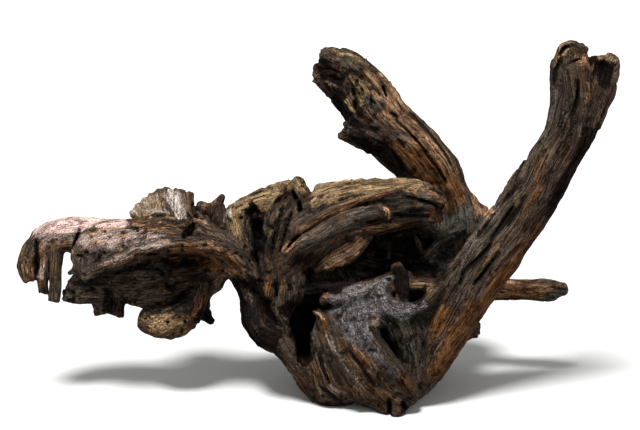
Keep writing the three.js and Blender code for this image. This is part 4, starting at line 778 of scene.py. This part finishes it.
def noise(x, y, z):
    """Smooth noise from -1 to 1, one lump to a unit."""
    cells = [np.floor(v) for v in (x, y, z)]
    fx, fy, fz = (v - c for v, c in zip((x, y, z), cells))
    fx, fy, fz = (t * t * (3 - 2 * t) for t in (fx, fy, fz))
    near = [c.astype(np.int64).astype(np.uint32) * p for c, p in zip(cells, PRIMES)]
    far = [n + p for n, p in zip(near, PRIMES)]
    total = 0
    for hz, wz in ((near[2], 1 - fz), (far[2], fz)):
        for hy, wy in ((near[1], 1 - fy), (far[1], fy)):
            for hx, wx in ((near[0], 1 - fx), (far[0], fx)):
                total = total + corner_value(hx + hy + hz) * (wx * wy * wz)
    return total


def tear(run, near, best):
    """Cuts off the last steps of a run unevenly, fibre by fibre."""
    length, fibre = run.torn
    past = (near - run.start[-1]) @ run.axis[-1] - run.length[-1]
    fine = fibre / FINE_FIBRES
    coarse_noise = noise(best[:, 1] / fibre, best[:, 2] / fibre, np.full(len(near), 7.5))
    fine_noise = noise(best[:, 1] / fine, best[:, 2] / fine, np.full(len(near), 3.5))
    uneven = length * coarse_noise + FINE_SHARE * length * fine_noise
    at_end = best[:, 3] > run.so_far[-1] - TORN_STEPS * STEP
    best[at_end, 0] = np.maximum(best[at_end, 0], (past - uneven)[at_end])


def outside(run, points, margin):
    """The points near a run: how far outside it they lie, their place round and along it, its half size."""
    kept = np.flatnonzero(((points > run.low - margin) & (points < run.high + margin)).all(1))
    near = points[kept]
    best = np.full((len(kept), 5), FAR, np.float32)
    for i, length in enumerate(run.length):
        size = max(run.half_width[i : i + 2].max(), run.half_depth[i : i + 2].max())
        middle = run.start[i] + run.axis[i] * (length / 2)
        chosen = np.flatnonzero(((near - middle) ** 2).sum(1) < (length / 2 + size + margin) ** 2)
        offset = near[chosen] - run.start[i]
        reach = offset @ run.axis[i]
        t = np.clip(reach / length, 0, 1)
        half_width = run.half_width[i] + t * (run.half_width[i + 1] - run.half_width[i])
        half_depth = run.half_depth[i] + t * (run.half_depth[i + 1] - run.half_depth[i])
        half_end = np.minimum(half_width, half_depth)
        a = offset @ run.deep[i]
        b = offset @ run.wide[i]
        past = reach - t * length
        sides = np.array([a / half_depth, b / half_width, past / half_end])
        f = np.sqrt((sides**2).sum(0))
        g = np.sqrt(((sides / np.array([half_depth, half_width, half_end])) ** 2).sum(0))
        distance = np.where(g > 1e-6, f * (f - 1) / np.maximum(g, 1e-6), -half_end)
        better = distance < best[chosen, 0]
        rows = chosen[better]
        best[rows, 0] = distance[better]
        best[rows, 1] = a[better]
        best[rows, 2] = b[better]
        best[rows, 3] = (run.so_far[i] + t * length)[better]
        best[rows, 4] = half_end[better]
    if run.torn:
        tear(run, near, best)
    return kept, best


def melt(a, b, join):
    """The lower of two distances, rounded where they are alike."""
    h = np.maximum(join - np.abs(a - b), 0) / join
    return np.minimum(a, b) - h * h * join / 4


def wood_at(points):
    """The distance to the wood's surface, negative inside the wood."""
    value = np.full(len(points), REACH, np.float32)
    for run in runs:
        margin = max(run.join, REACH / 2) + SPARE
        kept, best = outside(run, points, margin)
        kept, best = kept[best[:, 0] < margin], best[best[:, 0] < margin]
        width, height, stretch, seed = run.grain
        along = best[:, 3] / (width * stretch) + SEED_STEP * seed
        flutes = noise(best[:, 1] / width, best[:, 2] / width, along)
        distance = best[:, 0] - height * (flutes + FLUTE_MIDDLE)
        if run.adds:
            value[kept] = melt(value[kept], distance, run.join)
        else:
            value[kept] = -melt(-value[kept], distance, run.join)
    return value


def grid_of(*counts):
    """Every place of a lattice with these counts, in whole steps."""
    return np.stack(np.meshgrid(*(np.arange(n) for n in counts), indexing="ij"), -1).reshape(-1, 3)


low = np.min([run.low for run in runs if run.adds], axis=0) - EDGE
high = np.max([run.high for run in runs if run.adds], axis=0) + EDGE
low[2] = -EDGE
blocks = np.ceil((high - low) / (BLOCK * GRID)).astype(int)
rough = wood_at(low + (grid_of(*blocks) * BLOCK + (BLOCK - 1) / 2) * GRID).reshape(blocks)
lattice = rough.repeat(BLOCK, 0).repeat(BLOCK, 1).repeat(BLOCK, 2)
busy = np.argwhere(np.abs(rough) < BAND) * BLOCK
cells = (busy[:, None, :] + grid_of(BLOCK, BLOCK, BLOCK)).reshape(-1, 3)
lattice[tuple(cells.T)] = wood_at(low + cells * GRID)
heights = low[2] + np.arange(lattice.shape[2]) * GRID
lattice = np.maximum(lattice, -heights).astype(np.float32)

volume = openvdb.FloatGrid(REACH)
volume.copyFromArray(lattice)
points, quads = volume.convertToQuads()
points = (low + points * GRID).astype(np.float32)
quads = quads.astype(np.int64)


def main_body(quads, count):
    """The faces of the largest body, without loose crumbs."""
    label = np.arange(count)
    while True:
        lower = label.copy()
        np.minimum.at(lower, quads.ravel(), label[quads].min(1).repeat(4))
        lower = lower[lower]
        if (lower == label).all():
            break
        label = lower
    return quads[label[quads[:, 0]] == np.bincount(label).argmax()]


def mesh_of(name, points, faces):
    """A mesh in metres, from points in millimetres."""
    mesh = bpy.data.meshes.new(name)
    mesh.from_pydata(points / 1000, [], faces)
    mesh.validate()
    return mesh


def vertices_of(mesh):
    """A mesh's points in millimetres, and its normals."""
    points = np.zeros(len(mesh.vertices) * 3, np.float32)
    mesh.vertices.foreach_get("co", points)
    normals = np.zeros(len(mesh.vertices) * 3, np.float32)
    mesh.vertex_normals.foreach_get("vector", normals)
    return points.reshape(-1, 3) * 1000, normals.reshape(-1, 3)


bare = mesh_of("bare wood", points, main_body(quads, len(points)))

# How water, sun and rot have worn the surface: flutes, drying cracks and fibres along the grain of each
# limb, pits and soft lumps. Where two limbs meet, the two grains fade into each other.
MOST_FACES = 196000
FOOT_HEIGHT = 1.0
GRAIN_REACH = 14
GRAIN_FADE = 7
GRAIN_WANDER = 4.0
WANDER_LENGTH = 31
NEXT_RUN = 5.37
SOUND_WIDTH = 15
SHARPNESS, VALLEY_LEVEL = 2.6, 0.9
FLUTE_WIDTH, FLUTE_DEPTH = 12, 1.5
VALLEY_WIDTH, VALLEY_DEPTH = 5.5, 1.0
FIBRE_WIDTH, FIBRE_DEPTH = 3.0, 0.45
DRYING_WIDTH, DRYING_DEPTH = 10, 3.6
LUMP_WIDTH, LUMP_DEPTH = 19, 1.5
SMALL_LUMP_WIDTH, SMALL_LUMP_DEPTH = 8, 0.8
PIT_WIDTH, PIT_DEPTH = 4.5, 3.0
CRACK_SHELTER = 0.8
CRACK_REACH = 2
WALL_EDGE = (1.6, 0.4)


def soft_step(low, high, value):
    """0 at the low value and 1 at the high one, and smooth between them."""
    t = np.clip((value - low) / (high - low), 0, 1)
    return t * t * (3 - 2 * t)


def grain_at(points):
    """For each point the two limbs it lies nearest to: distance, place round and along, half size, run."""
    first = np.full((len(points), 6), FAR, np.float32)
    second = first.copy()
    for number, run in enumerate(runs):
        if not run.adds:
            continue
        kept, best = outside(run, points, GRAIN_REACH)
        found = np.column_stack([best, np.full(len(best), number, np.float32)])
        closer = found[:, 0] < first[kept, 0]
        second[kept[closer]] = first[kept[closer]]
        first[kept[closer]] = found[closer]
        next_best = ~closer & (found[:, 0] < second[kept, 0])
        second[kept[next_best]] = found[next_best]
    second = np.where(second[:, :1] >= FAR, first, second)
    for place in (first, second):
        place[:, 1] += GRAIN_WANDER * noise(*(points.T / WANDER_LENGTH))
        place[:, 2] += GRAIN_WANDER * noise(*(points.T / WANDER_LENGTH + 7))
    fade = 0.5 * (1 - soft_step(0, GRAIN_FADE, second[:, 0] - first[:, 0]))
    return first, second, fade


def along_grain(place, width, stretch, seed):
    """Noise in long streaks along a limb, one streak to a width."""
    offset = place[:, 5] * NEXT_RUN + seed
    return noise(place[:, 1] / width, place[:, 2] / width, place[:, 3] / (width * stretch) + offset)


def worn_height(place, points):
    """How far the surface stands out or in, in millimetres."""
    part = np.array([run.part for run in runs])[place[:, 5].astype(int)]
    flutes, cracks, pits, lumps = np.array([p[1:] for p in parts], np.float32)[part].T
    thin = np.clip(place[:, 4] / SOUND_WIDTH, 0.3, 1)
    ridges = 1 - SHARPNESS * np.abs(along_grain(place, FLUTE_WIDTH, 8, 0.5))
    valleys = SHARPNESS * np.abs(along_grain(place, VALLEY_WIDTH, 10, 3.1)) - VALLEY_LEVEL
    fibres = SHARPNESS * np.abs(along_grain(place, FIBRE_WIDTH, 7, 8.3)) - VALLEY_LEVEL
    height = flutes * thin * (FLUTE_DEPTH * ridges + VALLEY_DEPTH * valleys) + FIBRE_DEPTH * thin * fibres
    line = 1 - np.abs(along_grain(place, DRYING_WIDTH, 16, 6.7)) / 0.15
    where = soft_step(0.0, 0.3, along_grain(place, 25, 4, 9.9))
    height -= cracks * thin * DRYING_DEPTH * soft_step(0, 1, line) * where
    large, small = noise(*(points.T / LUMP_WIDTH)), noise(*(points.T / SMALL_LUMP_WIDTH + 3))
    height += lumps * thin * (LUMP_DEPTH * large + SMALL_LUMP_DEPTH * small)
    height -= pits * PIT_DEPTH * soft_step(0.3, 0.6, noise(*(points.T / PIT_WIDTH + 11)))
    return height


def crack_walls(points):
    """1 on the walls of the drying cracks, 0 away from them."""
    walls = np.zeros(len(points), np.float32)
    for run in runs:
        if run.name == "crack":
            kept, best = outside(run, points, CRACK_REACH)
            walls[kept] = np.maximum(walls[kept], soft_step(*WALL_EDGE, best[:, 0]))
    return walls


def wear_at(points, first, second, fade):
    """The worn height where two grains fade into each other. The edges of the cracks are hardly worn."""
    height = worn_height(first, points) * (1 - fade) + worn_height(second, points) * fade
    return height * (1 - CRACK_SHELTER * crack_walls(points))


points, normals = vertices_of(bare)
height = wear_at(points, *grain_at(points)) * (points[:, 2] > FOOT_HEIGHT)
points += normals * height[:, None]
points[:, 2] = np.maximum(points[:, 2], 0)
bare.vertices.foreach_set("co", (points / 1000).ravel())

shaped = bpy.data.objects.new("shaped wood", bare)
bpy.context.scene.collection.objects.link(shaped)
thinning = shaped.modifiers.new("thinning", "DECIMATE")
thinning.ratio = min(1, MOST_FACES / (2 * len(bare.polygons)))
bpy.context.view_layer.update()
graph = bpy.context.evaluated_depsgraph_get()
mesh = bpy.data.meshes.new_from_object(shaped.evaluated_get(graph))
bpy.data.objects.remove(shaped)
bpy.data.meshes.remove(bare)
mesh.name = "driftwood"
mesh.shade_smooth()


# What the finish needs to know at each point: its place in the grain, how open to the sky it is and how deep
# in a groove, which set its painted shade, and which stains lie on it.
LOOK_OUT = (4, 8, 14, 22, 34, 50)
DIRECTIONS = 24
START_OUT = 2
PAINTED_CRACK_SHADE = 3.0
EDGE_WANDER, EDGE_LENGTH = 2.5, 9
STAIN_EDGE = (1.5, 0.7)
FRONT_EDGE = (0.5, -0.1)
RUN_SPACING = 61


def openness(points, normals):
    """The share of the directions above a point that leave the wood freely, from 0 to 1."""
    found = np.zeros(len(points), np.float32)
    total = np.zeros(len(points), np.float32)
    for i in range(DIRECTIONS):
        z = 1 - (2 * i + 1) / DIRECTIONS
        turn = i * math.pi * (3 - math.sqrt(5))
        direction = np.array([math.cos(turn), math.sin(turn), 0]) * math.sqrt(1 - z * z) + [0, 0, z]
        weight = np.maximum(normals @ direction, 0)
        free = np.ones(len(points), bool)
        for distance in LOOK_OUT:
            index = np.rint((points + normals * START_OUT + direction * distance - low) / GRID).astype(int)
            index = np.clip(index, 0, np.array(lattice.shape) - 1)
            free &= lattice[tuple(index.T)] > 0
        found += weight * free
        total += weight
    return found / np.maximum(total, 1e-6)


def stain_masks(points, normals, first, second, fade):
    """How much of each tone lies on each point. Its edges run out along the grain."""
    offset = points - MIDDLE
    away = offset @ AWAY
    spread = (SIGHT_DISTANCE + away) / SIGHT_DISTANCE
    across = SHEET_MIDDLE[0] + (offset @ RIGHT) / spread + EDGE_WANDER * noise(*(points.T / EDGE_LENGTH))
    down = SHEET_MIDDLE[1] - (offset @ UP) / spread + EDGE_WANDER * noise(*(points.T / EDGE_LENGTH + 31))
    of_run = np.array([run.part for run in runs])
    part, next_part = of_run[first[:, 5].astype(int)], of_run[second[:, 5].astype(int)]
    streak = 0.35 * along_grain(first, 4, 5, 2.2) + 0.25 * along_grain(first, 9, 3, 4.4)
    front = soft_step(*FRONT_EDGE, normals @ AWAY)
    masks = {}
    for tone, amount, rows, of_part in stains:
        shape = np.full(len(points), FAR)
        for row in rows:
            ends = list(zip(row, row[1:])) or [(row[0], row[0])]
            for (x0, y0, r0), (x1, y1, r1) in ends:
                square = max((x1 - x0) ** 2 + (y1 - y0) ** 2, 1e-6)
                t = np.clip(((across - x0) * (x1 - x0) + (down - y0) * (y1 - y0)) / square, 0, 1)
                gap = np.hypot(across - x0 - t * (x1 - x0), down - y0 - t * (y1 - y0))
                shape = np.minimum(shape, gap / (r0 + t * (r1 - r0)))
        mask = amount * front * soft_step(*STAIN_EDGE, shape + streak)
        if of_part >= 0:
            mask = mask * ((part == of_part) * (1 - fade) + (next_part == of_part) * fade)
        masks[tone] = np.maximum(masks.get(tone, 0), mask)
    return masks


points, normals = vertices_of(mesh)
first, second, fade = grain_at(points)
# Painted shade: the walls of the drying cracks count as deep groove, so the finish paints the cracks dark.
groove = wear_at(points, first, second, fade) - PAINTED_CRACK_SHADE * crack_walls(points)
values = {"open": openness(points, normals), "groove": groove, "fade": fade}
values.update(stain_masks(points, normals, first, second, fade))
for name, value in values.items():
    mesh.attributes.new(name, "FLOAT", "POINT").data.foreach_set("value", value.astype(np.float32))
for name, place in (("grain", first), ("next grain", second)):
    shifted = np.column_stack([place[:, 1], place[:, 2], place[:, 3] + RUN_SPACING * place[:, 5]])
    attribute = mesh.attributes.new(name, "FLOAT_VECTOR", "POINT")
    attribute.data.foreach_set("vector", shifted.astype(np.float32).ravel())


# The finish: dry weathered wood with no coating. Sheltered wood is painted dark umber as painted shade, open
# wood is grey, and the stains lie on top: grey and green bloom, tan, straw and rust heartwood, bleached pink
# and bone, and charred black, which is also painted as shade in hollows and gaps.
TONES = {
    "dove": (0.50, 0.365, 0.315),
    "tan": (0.28, 0.158, 0.082),
    "straw": (0.40, 0.265, 0.14),
    "olive": (0.080, 0.065, 0.047),
    "slate": (0.088, 0.078, 0.062),
    "umber": (0.014, 0.0082, 0.0058),
    "rust": (0.19, 0.083, 0.031),
    "flesh": (0.54, 0.305, 0.17),
    "pink": (1.0, 0.70, 0.62),
    "ash": (0.23, 0.205, 0.20),
    "bone": (0.74, 0.62, 0.53),
    # Charred black, also painted as shade in hollows and gaps.
    "char": (0.015, 0.012, 0.011),
}
UMBER = (0.030, 0.016, 0.010)
GREY_WOOD = (0.096, 0.062, 0.042)
WARM_WOOD = (0.125, 0.057, 0.027)
OLD_GREY = (0.17, 0.13, 0.10)
WORN_RIDGE_AND_HIGHLIGHT = (0.28, 0.19, 0.13)
FIBRE_STRETCH = 0.07
THREAD_SCALE, HAIR_CRACK_SCALE, STREAK_SCALE = 0.55, 0.26, 0.17
HAIR_CRACK_WIDTH = 0.035
REGION_SCALE, BLOTCH_SCALE, SPECK_SCALE, FELT_SCALE, PORE_SCALE = 0.02, 0.07, 0.42, 0.55, 1.1
SHEEN = 0.08
RELIEF_DEPTH = 0.0022


def add(tree, kind, **inputs):
    """A node with its inputs set: a value, or a socket that is linked."""
    node = tree.nodes.new("ShaderNode" + kind)
    for key, value in inputs.items():
        socket = node.inputs[int(key[2:]) if key.startswith("in") else key.replace("_", " ")]
        if isinstance(value, bpy.types.NodeSocket):
            tree.links.new(value, socket)
        else:
            socket.default_value = value
    return node


def math_node(tree, operation, *values):
    node = add(tree, "Math", **{f"in{i}": v for i, v in enumerate(values)})
    node.operation = operation
    return node.outputs[0]


def ramp(tree, value, low, high, to_low=0.0, to_high=1.0):
    """A value moved smoothly from one range to another."""
    node = add(tree, "MapRange", Value=value)
    node.interpolation_type = "SMOOTHSTEP"
    for key, number in (("From Min", low), ("From Max", high), ("To Min", to_low), ("To Max", to_high)):
        node.inputs[key].default_value = number
    return node.outputs["Result"]


def mix_colour(tree, factor, a, b, how="MIX"):
    """Two colours mixed by a factor. Each is a value or a socket."""
    node = tree.nodes.new("ShaderNodeMix")
    node.data_type = "RGBA"
    node.blend_type = how
    for key, value in ((0, factor), (6, a), (7, b)):
        if isinstance(value, bpy.types.NodeSocket):
            tree.links.new(value, node.inputs[key])
        else:
            node.inputs[key].default_value = value if key == 0 else (*value, 1)
    return node.outputs[2]


def new_group(name, inputs, outputs):
    """A node group with named sockets, its input node and its output node."""
    tree = bpy.data.node_groups.new(name, "ShaderNodeTree")
    for direction, sockets in (("INPUT", inputs), ("OUTPUT", outputs)):
        for label, kind in sockets:
            tree.interface.new_socket(label, in_out=direction, socket_type="NodeSocket" + kind)
    return tree, tree.nodes.new("NodeGroupInput"), tree.nodes.new("NodeGroupOutput")


def noise_node(tree, vector, scale, detail=2.0, roughness=0.5):
    node = add(tree, "TexNoise", Vector=vector, Scale=scale, Detail=detail, Roughness=roughness)
    return node.outputs["Fac"]


# Wood fibre along one grain: fine threads, hair cracks and broad streaks.
fibre, group_in, group_out = new_group(
    "wood fibre",
    [("Grain", "Vector")],
    [("Threads", "Float"), ("Hair cracks", "Float"), ("Streaks", "Float")],
)
stretched = add(fibre, "Mapping", Vector=group_in.outputs["Grain"], Scale=(1, 1, FIBRE_STRETCH)).outputs[0]
fibre.links.new(noise_node(fibre, stretched, THREAD_SCALE, 4, 0.65), group_out.inputs["Threads"])
wander = noise_node(fibre, stretched, HAIR_CRACK_SCALE, 3)
centred = math_node(fibre, "ABSOLUTE", math_node(fibre, "SUBTRACT", wander, 0.5))
fibre.links.new(ramp(fibre, centred, 0.0, HAIR_CRACK_WIDTH, 1, 0), group_out.inputs["Hair cracks"])
fibre.links.new(noise_node(fibre, stretched, STREAK_SCALE, 3, 0.6), group_out.inputs["Streaks"])

# A stain on wood: its edge breaks up where the fibres are raised.
stained, group_in, group_out = new_group(
    "stain",
    [("Under", "Color"), ("Tone", "Color"), ("Amount", "Float"), ("Break-up", "Float")],
    [("Colour", "Color")],
)
raised = math_node(stained, "SUBTRACT", group_in.outputs["Break-up"], 0.5)
edge = math_node(stained, "MULTIPLY_ADD", raised, 2.4, group_in.outputs["Amount"])
present = ramp(stained, group_in.outputs["Amount"], 0.02, 0.3)
held = math_node(stained, "MULTIPLY", ramp(stained, edge, 0.3, 0.8), present)
mixed = mix_colour(stained, held, group_in.outputs["Under"], group_in.outputs["Tone"])
stained.links.new(mixed, group_out.inputs["Colour"])

wood = bpy.data.materials.new("weathered wood")
wood.use_nodes = True
tree = wood.node_tree
shader = tree.nodes["Principled BSDF"]


def read(name, output="Fac"):
    """A value that the mesh carries at each point."""
    node = tree.nodes.new("ShaderNodeAttribute")
    node.attribute_name = name
    return node.outputs[output]


fibres = []
for name in ("grain", "next grain"):
    node = tree.nodes.new("ShaderNodeGroup")
    node.node_tree = fibre
    tree.links.new(read(name, "Vector"), node.inputs["Grain"])
    fibres.append(node)


def both(output):
    """A value of the two grains at a point, faded into each other."""
    node = add(tree, "Mix", in0=read("fade"), in2=fibres[0].outputs[output], in3=fibres[1].outputs[output])
    return node.outputs[0]


threads, hair_cracks, streaks = both("Threads"), both("Hair cracks"), both("Streaks")
object_place = add(tree, "TexCoord").outputs["Object"]
place_mm = add(tree, "Mapping", Vector=object_place, Scale=(1000, 1000, 1000)).outputs[0]
blotches = noise_node(tree, place_mm, BLOTCH_SCALE, 4, 0.6)
specks = noise_node(tree, place_mm, SPECK_SCALE, 3, 0.6)
pores = noise_node(tree, place_mm, PORE_SCALE, 2, 0.6)
felt = noise_node(tree, place_mm, FELT_SCALE, 3, 0.7)
regions = noise_node(tree, place_mm, REGION_SCALE, 2, 0.5)

# Bare wood: painted dark umber where it is sheltered, as painted shade, and grey where it is open, with warm
# streaks. The stains lie on it, and its raised ridges are painted pale, partly as wear and partly as painted
# highlight.
# Painted shade: the less open to the sky, the nearer the colour is to dark umber.
sky = math_node(tree, "MULTIPLY_ADD", math_node(tree, "SUBTRACT", blotches, 0.5), 1.1, read("open"))
colour = mix_colour(tree, ramp(tree, sky, 0.35, 0.95), UMBER, GREY_WOOD)
warm = math_node(tree, "MULTIPLY", ramp(tree, streaks, 0.5, 0.66), 0.7)
colour = mix_colour(tree, warm, colour, WARM_WOOD)
colour = mix_colour(tree, ramp(tree, regions, 0.47, 0.62, 0.0, 0.55), colour, OLD_GREY)
half_streaks = math_node(tree, "MULTIPLY", streaks, 0.55)
broken = math_node(tree, "MULTIPLY_ADD", specks, 0.45, half_streaks)
for tone, rgb in TONES.items():
    node = tree.nodes.new("ShaderNodeGroup")
    node.node_tree = stained
    tree.links.new(colour, node.inputs["Under"])
    tree.links.new(read(tone), node.inputs["Amount"])
    tree.links.new(broken, node.inputs["Break-up"])
    node.inputs["Tone"].default_value = (*rgb, 1)
    colour = node.outputs["Colour"]
# Partly wear and partly painted highlight: raised, open ridges are painted pale.
ridge_wear_and_highlight = math_node(tree, "MULTIPLY", ramp(tree, read("groove"), 0.6, 2.6), ramp(tree, specks, 0.4, 0.62))
ridge_wear_and_highlight = math_node(tree, "MULTIPLY", ridge_wear_and_highlight, ramp(tree, read("open"), 0.45, 0.9, 0.0, 0.6))
colour = mix_colour(tree, ridge_wear_and_highlight, colour, WORN_RIDGE_AND_HIGHLIGHT)

# Painted shade: grooves and hollows are painted darker than the raised fibres, as shade falls in them, and
# the most raised wood a little lighter as painted highlight. Hair cracks are painted as dark lines. Where
# the wood is worn to felt, ashy or dove grey, the fibres stand up in specks and not in threads.
felted = math_node(tree, "MAXIMUM", read("ash"), math_node(tree, "MULTIPLY", read("dove"), 0.6))
bleached = math_node(tree, "MULTIPLY", math_node(tree, "MAXIMUM", read("bone"), read("pink")), 0.55)
thread_shade = ramp(tree, threads, 0.35, 0.65, 0.4, 1.6)
felt_shade = ramp(tree, felt, 0.36, 0.64, 0.4, 1.6)
felted = math_node(tree, "MULTIPLY", felted, 0.85)
shade = add(tree, "Mix", in0=felted, in2=thread_shade, in3=felt_shade).outputs[0]
shade = add(tree, "Mix", in0=bleached, in2=shade, in3=1.05).outputs[0]
# Painted shade by groove depth and by openness to the sky, a painted highlight on raised wood, dark hair
# cracks, and pores.
for value, *settings in (
    (read("groove"), -2.8, 1.6, 0.12, 1.2),
    (read("open"), 0.05, 0.75, 0.45, 1.0),
    (hair_cracks, 0, 1, 1.0, 0.3),
    (pores, 0.34, 0.66, 0.5, 1.5),
):
    shade = math_node(tree, "MULTIPLY", shade, ramp(tree, value, *settings))
grey_shade = add(tree, "CombineColor", Red=shade, Green=shade, Blue=shade).outputs[0]
colour = mix_colour(tree, 1.0, colour, grey_shade, "MULTIPLY")
tree.links.new(colour, shader.inputs["Base Color"])
tree.links.new(ramp(tree, threads, 0.3, 0.7, 0.85, 0.6), shader.inputs["Roughness"])
shader.inputs["Specular IOR Level"].default_value = SHEEN
relief = threads
for value, amount in ((hair_cracks, -0.8), (specks, 0.8), (pores, 0.4)):
    relief = math_node(tree, "MULTIPLY_ADD", value, amount, relief)
bump = add(tree, "Bump", Strength=1.0, Distance=RELIEF_DEPTH, Height=relief)
tree.links.new(bump.outputs[0], shader.inputs["Normal"])

driftwood = bpy.data.objects.new("driftwood_piece", mesh)
bpy.context.scene.collection.objects.link(driftwood)
mesh.materials.append(wood)
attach(driftwood, "root")
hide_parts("driftwood")

# The stage, which is no part of the object: a plain pale floor under a soft overhead light, seen from in
# front and a little above.
FLOOR_SIZE = 60
FLOOR_LIT = (0.30, 0.29, 0.28)
FLOOR_SEEN = (0.86, 0.86, 0.85)
SKY_STRENGTH = 0.32
PIXELS_ACROSS = 640
SENSOR_WIDTH = 36
floor_mesh = bpy.data.meshes.new("floor")
corners = [(x * FLOOR_SIZE / 2, y * FLOOR_SIZE / 2, 0) for x, y in ((-1, -1), (1, -1), (1, 1), (-1, 1))]
floor_mesh.from_pydata(corners, [], [(0, 1, 2, 3)])
floor = bpy.data.objects.new("floor", floor_mesh)
bpy.context.scene.collection.objects.link(floor)
paper = bpy.data.materials.new("pale floor")
paper.use_nodes = True
paper_shader = paper.node_tree.nodes["Principled BSDF"]
paper_shader.inputs["Roughness"].default_value = 0.9
seen = add(paper.node_tree, "LightPath").outputs["Is Camera Ray"]
paper_colour = mix_colour(paper.node_tree, seen, FLOOR_LIT, FLOOR_SEEN)
paper.node_tree.links.new(paper_colour, paper_shader.inputs["Base Color"])
floor_mesh.materials.append(paper)

world = bpy.data.worlds.new("studio")
world.use_nodes = True
world.node_tree.nodes["Background"].inputs["Color"].default_value = (1, 1, 1, 1)
world.node_tree.nodes["Background"].inputs["Strength"].default_value = SKY_STRENGTH
bpy.context.scene.world = world


def lamp(name, strength, softness, azimuth, elevation):
    """A distant soft light that comes from this side and height, in degrees."""
    light = bpy.data.lights.new(name, "SUN")
    light.energy = strength
    light.angle = math.radians(softness)
    holder = bpy.data.objects.new(name, light)
    holder.rotation_euler = (math.radians(90 - elevation), 0, math.radians(azimuth))
    bpy.context.scene.collection.objects.link(holder)


lamp("overhead light", strength=3.9, softness=16, azimuth=-25, elevation=68)
lamp("front fill", strength=0.3, softness=50, azimuth=20, elevation=20)

view = bpy.data.cameras.new("camera")
view.lens = SIGHT_DISTANCE * (SENSOR_WIDTH / PIXELS_ACROSS)
camera = bpy.data.objects.new("camera", view)
camera.location = (MIDDLE - AWAY * SIGHT_DISTANCE) / 1000
camera.rotation_euler = (math.pi / 2 - SIGHT_DIP, 0, 0)
bpy.context.scene.collection.objects.link(camera)
bpy.context.scene.camera = camera
bpy.context.scene.view_settings.view_transform = "Standard"
